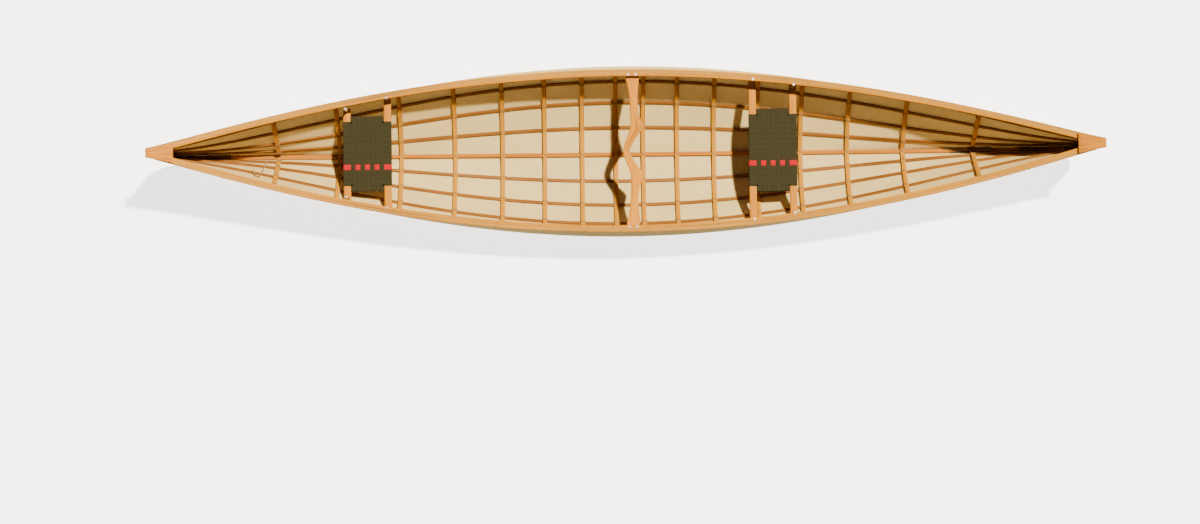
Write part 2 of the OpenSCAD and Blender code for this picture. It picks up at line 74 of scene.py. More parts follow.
MM = 0.001
ROOT = "root"
PORT, STARBOARD = 1.0, -1.0
BOW, STERN = 1.0, -1.0
SIDES = {"port": PORT, "starboard": STARBOARD}
MIX_COLOUR = 2  # the colour among the three results of a Mix node
log = logging.getLogger("canoe")


# ---------------------------------------------------------------- finishes


def linear(hex_colour: str) -> tuple[float, float, float, float]:
    """Turns six sRGB hex digits into linear red, green and blue, with an alpha of one."""
    srgb = np.array([int(hex_colour[i : i + 2], 16) for i in (0, 2, 4)]) / 255
    red, green, blue = np.where(srgb <= 0.04045, srgb / 12.92, ((srgb + 0.055) / 1.055) ** 2.4)
    return float(red), float(green), float(blue), 1.0


class Follows(Enum):
    """What a pattern is laid out on: the piece's own UV map, or a direction of the hull."""

    UV = "UV"
    ALONG_HULL = "X"
    UPRIGHT = "Z"


class Nodes:
    """The node tree of one material."""

    def __init__(self, name: str) -> None:
        """Starts an empty node material."""
        self.material = bpy.data.materials.new(name)
        self.material.use_nodes = True
        self.tree = self.material.node_tree
        self.tree.nodes.clear()

    def add(self, kind: str, values: dict | None = None, links: dict | None = None, out: str | int = 0,
            stops: Sequence[tuple[float, str]] = (), **settings: object) -> Socket:
        """Adds a node with its settings and links.

        Args:
            kind: Blender's name for the node type, after "ShaderNode".
            values: Input name or index to the value set on it.
            links: Input name or index to the output that feeds it.
            out: Name or index of the output that is wanted.
            stops: Place and hex colour of each stop, where the node is a colour ramp.
            **settings: Settings of the node itself, such as operation or blend_type.

        Returns:
            The wanted output.
        """
        node = self.tree.nodes.new(f"ShaderNode{kind}")
        for name, value in settings.items():
            setattr(node, name, value)
        for name, value in (values or {}).items():
            node.inputs[name].default_value = value
        for name, socket in (links or {}).items():
            self.tree.links.new(socket, node.inputs[name])
        for i, (place, colour) in enumerate(stops):
            elements = node.color_ramp.elements
            element = elements[i] if i < len(elements) else elements.new(1.0)
            element.position, element.color = place, linear(colour)
        return node.outputs[out]

    def place(self, follows: Follows) -> Socket:
        """Gives coordinates in metres whose first axis runs along the grain."""
        if follows is Follows.UV:
            return self.add("TexCoord", out="UV")
        turn = math.pi / 2 if follows is Follows.UPRIGHT else 0.0
        return self.add("Mapping", {"Rotation": (0, turn, 0)}, {"Vector": self.add("TexCoord", out="Object")})

    def scaled(self, place: Socket, along: float, across: float) -> dict[str, Socket]:
        """Scales coordinates in metres so that one unit is one feature of a pattern.

        Args:
            place: The coordinates, grain first.
            along: Length of one feature along the grain, in metres.
            across: Its width across the grain, in metres.

        Returns:
            The link that feeds them to a pattern.
        """
        scale = (1 / along, 1 / across, 1 / across)
        return {"Vector": self.add("Mapping", {"Scale": scale}, {"Vector": place})}

    def close(self, surface: Socket) -> bpy.types.Material:
        """Links the finished shader to the material's output and returns the material."""
        end = self.tree.nodes.new("ShaderNodeOutputMaterial")
        self.tree.links.new(surface, end.inputs["Surface"])
        return self.material


@dataclass(frozen=True)
class Wood:
    """An oiled wood: growth bands along the piece, fine open fibres, and a thin satin film."""

    name: str
    pale: str
    mid: str
    dark: str
    follows: Follows = Follows.UV
    band: float = 5 * MM
    band_long: float = 0.42
    fibre: float = 0.9 * MM
    fibre_long: float = 35 * MM
    roughness: float = 0.62
    film: float = 0.02
    piece_tone: float = 0.10

    def build(self) -> bpy.types.Material:
        """Builds the material.

        Growth bands are noise drawn out along the grain and distorted. Fibres are finer noise that also carries the
        bump. A slow noise along the piece varies its tone.
        """
        nodes = Nodes(self.name)
        place = nodes.place(self.follows)
        tone = nodes.add("TexNoise", {"Scale": 1.0, "Detail": 2.0}, nodes.scaled(place, 0.55, 0.09))
        bands = nodes.add("TexNoise", {"Scale": 1.0, "Detail": 4.0, "Roughness": 0.55, "Distortion": 0.7},
                          nodes.scaled(place, self.band_long, self.band))
        fibres = nodes.add("TexNoise", {"Scale": 1.0, "Detail": 3.0, "Roughness": 0.6},
                           nodes.scaled(place, self.fibre_long, self.fibre))
        colour = nodes.add("ValToRGB", links={0: bands},
                           stops=[(0.30, self.dark), (0.47, self.mid), (0.66, self.pale)])
        lighter = nodes.add("MapRange", {"From Min": 0.3, "From Max": 0.7, "To Min": 1 - self.piece_tone,
                                         "To Max": 1 + self.piece_tone}, {"Value": tone})
        streak = nodes.add("MapRange", {"From Min": 0.35, "From Max": 0.6, "To Min": 0.82, "To Max": 1.03},
                           {"Value": fibres})
        both = nodes.add("Math", links={0: lighter, 1: streak}, operation="MULTIPLY")
        shade = nodes.add("Mix", {"Factor": 1.0}, {"A": colour, "B": both}, MIX_COLOUR,
                          data_type="RGBA", blend_type="MULTIPLY")
        rough = nodes.add("MapRange", {"To Min": self.roughness + 0.10, "To Max": self.roughness - 0.06},
                          {"Value": fibres})
        bump = nodes.add("Bump", {"Strength": 0.35, "Distance": 0.25 * MM}, {"Height": fibres})
        satin = {"Specular IOR Level": 0.12, "Coat Weight": self.film, "Coat Roughness": 0.4}
        return nodes.close(nodes.add("BsdfPrincipled", satin,
                                     {"Base Color": shade, "Roughness": rough, "Normal": bump}))


@dataclass(frozen=True)
class CoatedCloth:
    """Polyester cloth filled with a clear coating: cream, satin, and it lets daylight through."""

    name: str = "coated polyester cloth, natural"
    front: str = "ECD28E"
    thread: str = "E2C67E"
    glow: str = "D4C8A0"
    let_through: float = 0.27
    thread_pitch: float = 1.6 * MM  # threads are 0.6 mm apart, drawn wider so that they show

    def build(self) -> bpy.types.Material:
        """Builds the material: a plain weave of two crossed waves, slow mottling, and a translucent share."""
        nodes = Nodes(self.name)
        place = nodes.place(Follows.UV)
        slow = nodes.add("TexNoise", {"Scale": 1.0, "Detail": 3.0}, nodes.scaled(place, 0.35, 0.16))
        fill = nodes.add("TexNoise", {"Scale": 1.0, "Detail": 4.0}, nodes.scaled(place, 0.02, 0.014))
        pitch = {"Scale": math.pi / 10 / self.thread_pitch, "Distortion": 0.3, "Detail": 1.0}
        threads = [nodes.add("TexWave", pitch, {"Vector": place}, "Fac", bands_direction=way) for way in "XY"]
        weave = nodes.add("Math", links=dict(enumerate(threads)), operation="MAXIMUM")
        mottle = nodes.add("Math", links={0: slow, 1: fill}, operation="MULTIPLY")
        colour = nodes.add("ValToRGB", links={0: mottle}, stops=[(0.12, self.thread), (0.38, self.front)])
        relief = nodes.add("Math", {1: 0.4}, {0: weave, 2: fill}, operation="MULTIPLY_ADD")
        bump = nodes.add("Bump", {"Strength": 0.25, "Distance": 0.2 * MM}, {"Height": relief})
        satin = {"Roughness": 0.55, "Specular IOR Level": 0.15, "Coat Weight": 0.02, "Coat Roughness": 0.4}
        face = nodes.add("BsdfPrincipled", satin, {"Base Color": colour, "Normal": bump})
        glow = nodes.add("BsdfTranslucent", {"Color": linear(self.glow)}, {"Normal": bump})
        return nodes.close(nodes.add("MixShader", {0: self.let_through}, {1: face, 2: glow}))


@dataclass(frozen=True)
class Webbing:
    """Woven polypropylene strap: ribs of yarn across the strap, with painted shade in the valleys between them."""

    name: str
    yarn: str
    valley_shade: str
    rib_pitch: float = 2.4 * MM
    chevron: float = 6 * MM

    def build(self) -> bpy.types.Material:
        """Builds the material: yarn ribs from a wave along the strap, broken into slanted columns across it."""
        nodes = Nodes(self.name)
        place = nodes.place(Follows.UV)
        along, across = (nodes.add("SeparateXYZ", links={0: place}, out=axis) for axis in "XY")
        column = nodes.add("Math", {1: self.chevron}, {0: across}, operation="PINGPONG")
        slant = nodes.add("Math", links={0: along, 1: column}, operation="ADD")
        turns = nodes.add("Math", {1: 2 * math.pi / self.rib_pitch}, {0: slant}, operation="MULTIPLY")
        rib = nodes.add("Math", links={0: turns}, operation="SINE")
        fuzz = nodes.add("TexNoise", {"Scale": 1.0, "Detail": 3.0}, nodes.scaled(place, 4 * MM, 2 * MM))
        height = nodes.add("Math", {1: 0.5}, {0: rib, 2: fuzz}, operation="MULTIPLY_ADD")
        # painted shade: the low parts of the height, the valleys between the ribs, take the darker colour
        colour = nodes.add("ValToRGB", links={0: height}, stops=[(0.15, self.valley_shade), (0.8, self.yarn)])
        bump = nodes.add("Bump", {"Strength": 0.6, "Distance": 0.4 * MM}, {"Height": height})
        dull = {"Roughness": 0.8, "Specular IOR Level": 0.15, "Sheen Weight": 0.03, "Sheen Roughness": 0.5}
        return nodes.close(nodes.add("BsdfPrincipled", dull, {"Base Color": colour, "Normal": bump}))


@dataclass(frozen=True)
class Twist:
    """A laid cord: three strands wound round it, with painted shade in the grooves between them, and a little fluff.
    """

    name: str
    strand: str
    groove_shade: str
    lay: float = 16 * MM
    strands: int = 3
    round_it: float = 14 * MM

    def build(self) -> bpy.types.Material:
        """Builds the material: a slanted wave over the cord's UV map, one period for each strand."""
        nodes = Nodes(self.name)
        place = nodes.place(Follows.UV)
        along, around = (nodes.add("SeparateXYZ", links={0: place}, out=axis) for axis in "XY")
        lead = nodes.add("Math", {1: self.strands / self.lay}, {0: along}, operation="MULTIPLY")
        turn = nodes.add("Math", {1: self.strands / self.round_it}, {0: around, 2: lead}, operation="MULTIPLY_ADD")
        wave = nodes.add("Math", {1: 0.5}, {0: turn}, operation="PINGPONG")
        # painted shade: the low part of the wave, the groove between strands, takes the darker colour
        colour = nodes.add("ValToRGB", links={0: wave}, stops=[(0.06, self.groove_shade), (0.3, self.strand)])
        bump = nodes.add("Bump", {"Strength": 0.8, "Distance": 0.8 * MM}, {"Height": wave})
        return nodes.close(nodes.add("BsdfPrincipled", {"Roughness": 0.7, "Sheen Weight": 0.2},
                                     {"Base Color": colour, "Normal": bump}))


@dataclass(frozen=True)
class Metal:
    """Bright zinc-plated or brass hardware: clean metal with faint turning marks and a dull bloom."""

    name: str
    colour: str
    dull: str
    roughness: float = 0.34

    def build(self) -> bpy.types.Material:
        """Builds the material: a fine noise varies colour and roughness a little."""
        nodes = Nodes(self.name)
        place = nodes.place(Follows.ALONG_HULL)
        bloom = nodes.add("TexNoise", {"Scale": 1.0, "Detail": 4.0}, nodes.scaled(place, 3 * MM, 3 * MM))
        colour = nodes.add("ValToRGB", links={0: bloom}, stops=[(0.35, self.dull), (0.6, self.colour)])
        rough = nodes.add("MapRange", {"To Min": self.roughness + 0.12, "To Max": self.roughness - 0.08},
                          {"Value": bloom})
        return nodes.close(nodes.add("BsdfPrincipled", {"Metallic": 1.0}, {"Base Color": colour, "Roughness": rough}))


@dataclass(frozen=True)
class PaintedFloor:
    """A pale matt studio floor."""

    name: str = "matt white studio floor"
    colour: str = "F4F3F0"
    far_colour: str = "F7F6F4"
    glow: float = 3.0  # seen by the camera only, so that it lights nothing

    def build(self) -> bpy.types.Material:
        """Builds the material, with a very slow change of tone."""
        nodes = Nodes(self.name)
        place = nodes.place(Follows.ALONG_HULL)
        slow = nodes.add("TexNoise", {"Scale": 1.0}, nodes.scaled(place, 2.5, 2.5))
        tone = nodes.add("ValToRGB", links={0: slow}, stops=[(0.2, self.colour), (0.8, self.far_colour)])
        seen = nodes.add("LightPath", out="Is Camera Ray")
        glow = nodes.add("Math", {1: self.glow}, {0: seen}, operation="MULTIPLY")
        matt = {"Roughness": 0.9, "Specular IOR Level": 0.1, "Emission Color": linear(self.far_colour)}
        return nodes.close(nodes.add("BsdfPrincipled", matt, {"Base Color": tone, "Emission Strength": glow}))


class Finishes:
    """Every finish of the canoe, each built once."""

    def __init__(self) -> None:
        """Builds all materials."""
        self.cedar = Wood("red cedar, oiled", "915F23", "86531C", "5C360D").build()
        self.ash = Wood("steam-bent ash, oiled", "C58716", "BC7D0F", "945E09", band=4 * MM, band_long=0.5).build()
        self.spruce = Wood("spruce gunwale, oiled", "C58416", "BC7B0F", "965E09", band=6 * MM, band_long=0.7).build()
        self.keel = Wood("fir keel batten, oiled", "BA730D", "B1680A", "854D04", band=5 * MM).build()
        self.cherry = Wood("cherry, oiled", "C77D13", "BE720D", "965507", band=9 * MM, band_long=0.16).build()
        self.yoke = Wood("carved cherry yoke, oiled", "D28916", "CB7E11", "A2600A", band=12 * MM, band_long=0.30).build()
        self.seat = Wood("fir seat bar, oiled", "C78215", "BE770F", "945809", band=6 * MM).build()
        self.stem = Wood("laminated stem, oiled", "915F27", "7D4B1A", "55300B", follows=Follows.UPRIGHT).build()
        self.dowel = Wood("birch dowel, oiled", "CBA65E", "C0964B", "946E30", follows=Follows.UPRIGHT).build()
        self.plug = Wood("walnut plug", "6E492A", "5B3C21", "422A16", follows=Follows.UPRIGHT).build()
        self.skin = CoatedCloth().build()
        # the second colour of each webbing is painted shade for the valleys between its ribs
        self.green_web = Webbing("polypropylene webbing, dark green", "342F16", "27230F").build()
        self.red_web = Webbing("polypropylene webbing, red", "BC0318", "9F0215").build()
        self.steel = Metal("zinc-plated steel", "C9C6BE", "9A968C").build()
        self.brass = Metal("brass", "C8A05A", "8E6E38").build()
        # the second colour of each cord is painted shade for its grooves
        self.twine = Twist("waxed lashing twine", "8C6E44", "4B3820", lay=5 * MM, round_it=7 * MM).build()
        self.dark_cord = Twist("dark cord", "4A4434", "221F18", lay=12 * MM, round_it=14 * MM).build()
        self.manila = Twist("laid manila cord", "A87418", "3E2A08", lay=18 * MM, round_it=19 * MM).build()


# ---------------------------------------------------------------- meshes


def make_object(name: str, points: Array, faces: Sequence[Sequence[int]], uv: Array | None = None,
                sharp_deg: float = 35.0) -> bpy.types.Object:
    """Makes a smooth-shaded mesh object at the origin.

    Args:
        name: Name of the object.
        points: Vertices, in metres.
        faces: Vertex indices of each face.
        uv: Coordinates for each corner of each face, in face order.
        sharp_deg: Edges that turn by more than this stay sharp.

    Returns:
        The linked object.
    """
    mesh = bpy.data.meshes.new(name)
    mesh.from_pydata(points.tolist(), [], [list(f) for f in faces])
    if uv is not None:
        mesh.uv_layers.new(name="UVMap").data.foreach_set("uv", np.ascontiguousarray(uv, np.float32).ravel())
    mesh.polygons.foreach_set("use_smooth", np.ones(len(mesh.polygons), bool))
    mesh.set_sharp_from_angle(angle=math.radians(sharp_deg))
    mesh.update()
    obj = bpy.data.objects.new(name, mesh)
    bpy.context.scene.collection.objects.link(obj)
    return obj


def signed_volume(points: Array, quads: Array) -> float:
    """Volume inside the quads: negative when they point inwards."""
    a, b, c, d = (points[quads[:, i]] for i in range(4))
    return float((a * (np.cross(b, c) + np.cross(c, d))).sum() / 6)


def loft_parts(rings: Array) -> tuple[Array, list[list[int]], Array]:
    """Joins rings of points into a closed bar.

    Args:
        rings: (n, m, 3) points: n rings of m points each.

    Returns:
        The points, the faces (sides, then the two end caps), and a UV pair for each face corner. U is the distance
        along the middle of the bar and V the distance round the ring, both in metres.
    """
    n, m = rings.shape[:2]
    i, j = (g.ravel() for g in np.meshgrid(np.arange(n - 1), np.arange(m), indexing="ij"))
    k = (j + 1) % m
    quads = np.stack([i * m + j, (i + 1) * m + j, (i + 1) * m + k, i * m + k], axis=1)
    points = rings.reshape(-1, 3)
    middle = rings.mean(axis=1)
    along = np.concatenate([[0], np.cumsum(np.linalg.norm(np.diff(middle, axis=0), axis=1))])
    steps = np.linalg.norm(np.roll(rings, -1, axis=1) - rings, axis=2).mean(axis=0)
    around = np.concatenate([[0], np.cumsum(steps)])
    uv = np.stack([np.stack([along[i], around[j]], 1), np.stack([along[i + 1], around[j]], 1),
                   np.stack([along[i + 1], around[j + 1]], 1), np.stack([along[i], around[j + 1]], 1)], axis=1)
    first, last = np.arange(m), (n - 1) * m + np.arange(m)
    if signed_volume(points, quads) < 0:
        quads, uv, first, last = quads[:, ::-1], uv[:, ::-1], first[::-1], last[::-1]
    caps = [first.tolist(), last[::-1].tolist()]
    cap_uv = [np.stack([np.full(m, end), around[:m]], 1) for end in (along[0], along[-1])]
    return points, quads.tolist() + caps, np.concatenate([uv.reshape(-1, 2), *cap_uv])


def loft(name: str, rings: Array, sharp_deg: float = 35.0) -> bpy.types.Object:
    """Makes one bar object from its rings."""
    return make_object(name, *loft_parts(rings), sharp_deg=sharp_deg)


def loft_many(name: str, bars: Iterable[Array], sharp_deg: float = 35.0) -> bpy.types.Object:
    """Makes one object from many bars, each given by its rings."""
    points, faces, uv, start = [], [], [], 0
    for rings in bars:
        p, f, u = loft_parts(rings)
        points.append(p)
        faces += [[v + start for v in face] for face in f]
        uv.append(u)
        start += len(p)
    return make_object(name, np.concatenate(points), faces, np.concatenate(uv), sharp_deg)


def unit(v: Array) -> Array:
    """Vectors of length one along the last axis."""
    return v / np.maximum(np.linalg.norm(v, axis=-1, keepdims=True), 1e-12)


def rounded(corners: Array, radius: float, arc: int = 2) -> Array:
    """Rounds the four long edges of a bar.

    Each corner becomes a quadratic curve from a point one radius back along one side to a point one radius on along
    the next side, with the corner itself as its middle handle.

    Args:
        corners: (n, 4, 3) corners of each section, in order round it.
        radius: Radius of the rounding.
        arc: Steps in each rounding.

    Returns:
        (n, 4 * (arc + 1), 3) ring points.
    """
    before = corners + radius * unit(np.roll(corners, 1, axis=1) - corners)
    after = corners + radius * unit(np.roll(corners, -1, axis=1) - corners)
    t = np.linspace(0, 1, arc + 1)[None, None, :, None]
    curve = (1 - t) ** 2 * before[:, :, None] + 2 * t * (1 - t) * corners[:, :, None] + t**2 * after[:, :, None]
    return curve.reshape(len(corners), -1, 3)


def eased_ends(rings: Array, inset: float = 0.8 * MM) -> Array:
    """Adds a small rounding to both ends of a bar.

    Args:
        rings: (n, m, 3) ring points.
        inset: Size of the rounding.

    Returns:
        Rings with two more at each end, drawn in toward the middle of the section.
    """
    def drawn_in(ring: Array, share: float) -> Array:
        """The ring made smaller by a share of the inset."""
        middle = ring.mean(axis=0)
        half = max(float(np.linalg.norm(ring - middle, axis=1).mean()), 1e-6)
        return middle + (ring - middle) * (1 - inset * share / half)

    def end(ring: Array, inner: Array) -> list[Array]:
        """The rings of one end, from its tip inward."""
        gap = ring.mean(axis=0) - inner.mean(axis=0)
        shoulder = ring - gap * min(inset / max(float(np.linalg.norm(gap)), 1e-9), 0.45)
        return [drawn_in(ring, 1.0), drawn_in(ring, 0.3) * 0.6 + shoulder * 0.4, shoulder]

    return np.concatenate([end(rings[0], rings[1]), rings[1:-1], end(rings[-1], rings[-2])[::-1]])


def box_corners(low: Sequence[float], high: Sequence[float], axis: int, count: int = 2) -> Array:
    """Sections of a straight bar.

    Args:
        low: Lowest corner of the bar's box.
        high: Highest corner.
        axis: The axis that the bar runs along.
        count: Number of sections.

    Returns:
        (count, 4, 3) corners.
    """
    low, high = np.array(low, float), np.array(high, float)
    u, v = [k for k in range(3) if k != axis]
    out = np.zeros((count, 4, 3))
    out[:, :, axis] = np.linspace(low[axis], high[axis], count)[:, None]
    out[:, :, u] = np.array([low[u], high[u], high[u], low[u]])
    out[:, :, v] = np.array([low[v], low[v], high[v], high[v]])
    return out


def tube(path: Array, radius: float, sides: int = 8, up: Sequence[float] = (0.3, 1, 0)) -> Array:
    """Rings of a round tube along a path.

    Each ring stands square to the path, turned so that its first point lies toward a fixed direction.

    Args:
        path: (n, 3) points of the middle line.
        radius: Radius of the tube.
        sides: Points in each ring.
        up: The fixed direction.

    Returns:
        (n, sides, 3) ring points.
    """
    t = unit(np.gradient(path, axis=0))
    u = unit(np.cross(t, np.array(up, float)))
    v = np.cross(t, u)
    a = np.linspace(0, 2 * math.pi, sides, endpoint=False)[None, :, None]
    return path[:, None] + radius * (np.cos(a) * u[:, None] + np.sin(a) * v[:, None])


def lathe(centre: Sequence[float], profile: Sequence[tuple[float, float]], sides: int = 24) -> Array:
    """Rings of an upright turned piece.

    Args:
        centre: The foot of its axis.
        profile: Radius and height of each ring, from one end to the other.
        sides: Points in each ring.

    Returns:
        (n, sides, 3) ring points.
    """
    a = np.linspace(0, 2 * math.pi, sides, endpoint=False)
    r, z = np.array(profile, float).T
    ring = np.stack([np.cos(a), np.sin(a), np.zeros(sides)], axis=1)
    return np.array(centre, float) + r[:, None, None] * ring + z[:, None, None] * np.array([0, 0, 1.0])


def smooth_line(knots: Array, count: int) -> Array:
    """A smooth curve through points: cubic Hermite pieces whose slopes are the chords of the neighbours.

    Args:
        knots: (n, d) points, the first column rising.
        count: Number of samples.

    Returns:
        (count, d) samples, evenly spaced in the first column.
    """
    x = knots[:, 0]
    slope = np.gradient(knots, x, axis=0)
    at = np.linspace(x[0], x[-1], count)
    i = np.clip(np.searchsorted(x, at, side="right") - 1, 0, len(x) - 2)
    h = (x[i + 1] - x[i])[:, None]
    f = ((at - x[i])[:, None]) / h
    g = 1 - f
    return (knots[i] * (1 + 2 * f) * g**2 + knots[i + 1] * (3 - 2 * f) * f**2
            + h * (slope[i] * f * g**2 - slope[i + 1] * f**2 * g))


def fit(obj: bpy.types.Object, finish: bpy.types.Material | Sequence[bpy.types.Material],
        instead_of: Sequence[str] = ()) -> bpy.types.Object:
    """Dresses a piece and hands it to the frame.

    Args:
        obj: The piece.
        finish: Its material, or several where its faces name them.
        instead_of: CAD nodes that it stands for.

    Returns:
        The same piece.
    """
    for material in [finish] if isinstance(finish, bpy.types.Material) else finish:
        obj.data.materials.append(material)
    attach(obj, ROOT)
    if instead_of:
        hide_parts(*instead_of)
    stands_for = ", ".join(instead_of) or "itself"
    log.info("piece %s: %d faces, stands for %s", obj.name, len(obj.data.polygons), stands_for)
    return obj


def dress_node(name: str, finish: bpy.types.Material) -> None:
    """Gives a CAD node that stays in view its material."""
    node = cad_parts[name]
    node.data.materials.clear()
    node.data.materials.append(finish)
    log.info("node %s: %s", name, finish.name)


# ---------------------------------------------------------------- hull lines


def node_box(name: str) -> tuple[Array, Array]:
    """Lowest and highest corners of a CAD node."""
    low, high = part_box(name)
    return np.array(low, float), np.array(high, float)


@dataclass
class HullLines:
    """The lines that every piece of the hull follows, from the keel up: keel, stringers 4 to 1, gunwale.

    Each line has a half-breadth and a height amidships and a place on the stem. Its half-breadth falls off as
    (1 - s^2)^fullness and its height rises as |s|^fullness, where s is the share of the line's own length.
    """

    flat_run: float = 300 * MM
    forefoot_len: float = 215 * MM
    forefoot_h: float = 186 * MM
    skin_t: float = 1.4 * MM
    gap: float = 0.2 * MM
    stringer_w: float = 16.5 * MM
    stringer_t: float = 9 * MM
    inwale_w: float = 20 * MM
    inwale_h: float = 24 * MM
    outwale_w: float = 12 * MM
    outwale_h: float = 19 * MM
    keel_t: float = 13 * MM
    stem_back: float = 25 * MM
    recurve: float = 9 * MM
    deck_overhang: float = 10 * MM
    beam_shares: tuple[float, ...] = (0.34, 0.65, 0.893, 1.047)
    mid_height_shares: tuple[float, ...] = (0.046, 0.209, 0.483, 0.763)
    end_height_shares: tuple[float, ...] = (0.0, 0.197, 0.407, 0.612, 0.797, 1.0)
    full_y: tuple[float, ...] = (1.0, 2.6, 2.0, 1.52, 1.22, 1.06)
    full_z: tuple[float, ...] = (2.0, 2.2, 2.9, 3.2, 2.9, 2.9)

    def __post_init__(self) -> None:
        """Reads the driving sizes from the frame and works out the lines."""
        keel_low, keel_high = node_box("keel")
        wale_low, wale_high = node_box("inwale_port")
        self.half_len = float(max(abs(v) for v in (CAD_BOX[0][0], CAD_BOX[1][0])))
        self.half_beam = float(node_box("outwale_port")[1][1])
        self.depth_mid = float(wale_low[2]) + self.inwale_h
        self.depth_end = float(wale_high[2])
        self.keel_w = float(keel_high[1] - keel_low[1])
        self.floor_gap = float(keel_low[2])
        self.rocker = float(keel_high[2] - keel_low[2]) - self.keel_t
        stem_low, stem_high = node_box("bow_stem")
        self.stem_w = float(stem_high[1] - stem_low[1])
        self.foot_z = self.rocker + self.floor_gap
        self.foot_x = self.half_len - self.deck_overhang - self.skin_t - self.gap - self.forefoot_len
        sheer = self.half_beam - self.outwale_w - 2 * self.gap - self.skin_t
        self.beam = np.array([self.keel_w / 2, *(s * self.half_beam for s in self.beam_shares), sheer])
        between = (s * self.depth_mid for s in self.mid_height_shares)
        self.z_mid = np.array([self.floor_gap, *between, self.depth_mid])
        self.z_end = self.foot_z + np.array(self.end_height_shares) * (self.depth_end - self.foot_z)
        self.end_y = self.stem_w / 2 + self.stringer_t + 3 * self.gap
        self.end_x = self.stem_x(self.z_end) - self.stem_back

    def stem_x(self, z: Array | float) -> Array:
        """Face of the stem at height z: a quarter ellipse at the foot, then nearly plumb with a slight recurve."""
        z = np.asarray(z, float)
        a = np.clip((z - self.foot_z) / self.forefoot_h, 0, 1)
        top = self.foot_z + self.forefoot_h
        b = np.clip((z - top) / (self.depth_end - top), 0, 1)
        return self.foot_x + self.forefoot_len * np.sqrt(1 - (1 - a) ** 2) - self.recurve * b**2

    def line(self, k: int, s: Array) -> Array:
        """Points of line k at shares s of its own length, on the port side."""
        s = np.clip(np.asarray(s, float), -1, 1)
        x = s * self.end_x[k]
        if k == 0:
            run = np.clip((np.abs(x) - self.flat_run) / (self.end_x[0] - self.flat_run), 0, 1)
            z = self.floor_gap + self.rocker * run ** self.full_z[0]
            return np.stack([x, np.full_like(x, self.beam[0]), z], -1)
        y = self.end_y + (self.beam[k] - self.end_y) * (1 - s**2) ** self.full_y[k]
        z = self.z_mid[k] + (self.z_end[k] - self.z_mid[k]) * np.abs(s) ** self.full_z[k]
        return np.stack([x, y, z], -1)

    def at(self, k: int, x: Array | float) -> Array:
        """Point of line k at place x along the hull."""
        return self.line(k, np.asarray(x, float) / self.end_x[k])

    def up(self, k: int, x: Array | float) -> Array:
        """Direction up the girth of the hull at stringer line k."""
        chord = self.at(k + 1, x) - self.at(k - 1, x)
        chord[..., 0] = 0
        return unit(chord)

    @staticmethod
    def out(up: Array) -> Array:
        """Direction out of the hull, square to a direction up its girth."""
        return np.stack([np.zeros(up.shape[:-1]), up[..., 2], -up[..., 1]], -1)

    def corner(self, k: int, x: Array | float, side: float, depth: float) -> Array:
        """A corner of stringer line k: side -1 low and 1 high, at a depth in from its outer face."""
        if k == 5:
            drop = np.array([0, depth, self.inwale_h if side < 0 else 0.0])
            return self.at(5, x) - drop
        up = self.up(k, x)
        return self.at(k, x) + side * self.stringer_w / 2 * up - depth * self.out(up)

    def edge_z(self, k: int, side: float) -> float:
        """Height at which an edge of line k meets the stem."""
        if k == 0:
            return float(self.z_end[0])
        if k == 5:
            return float(self.z_end[5]) - (self.inwale_h if side < 0 else 0.0)
        return float(self.z_end[k]) + side * self.stringer_w / 2

    def keel_top(self, x: Array | float) -> Array:
        """Height of the keel batten's upper face."""
        return self.at(0, x)[..., 2] + self.keel_t + self.gap

    def stations(self, count: int) -> Array:
        """Shares of the length from -1 to 1, closer together toward the ends."""
        t = np.linspace(-1, 1, 2 * count + 1)
        return 0.5 * t + 0.5 * np.sin(math.pi / 2 * t)

    def inwale_inner(self, y: Array) -> Array:
        """Inner face of the inwale beside a skin face at y: it tapers to lie along the stem."""
        return np.maximum(y - self.inwale_w, self.stem_w / 2 + self.gap)


def mirrored(points: Array, side: float) -> Array:
    """Points on the port side, or mirrored to starboard."""
    return points * np.array([1.0, side, 1.0])


# ---------------------------------------------------------------- sub-assemblies


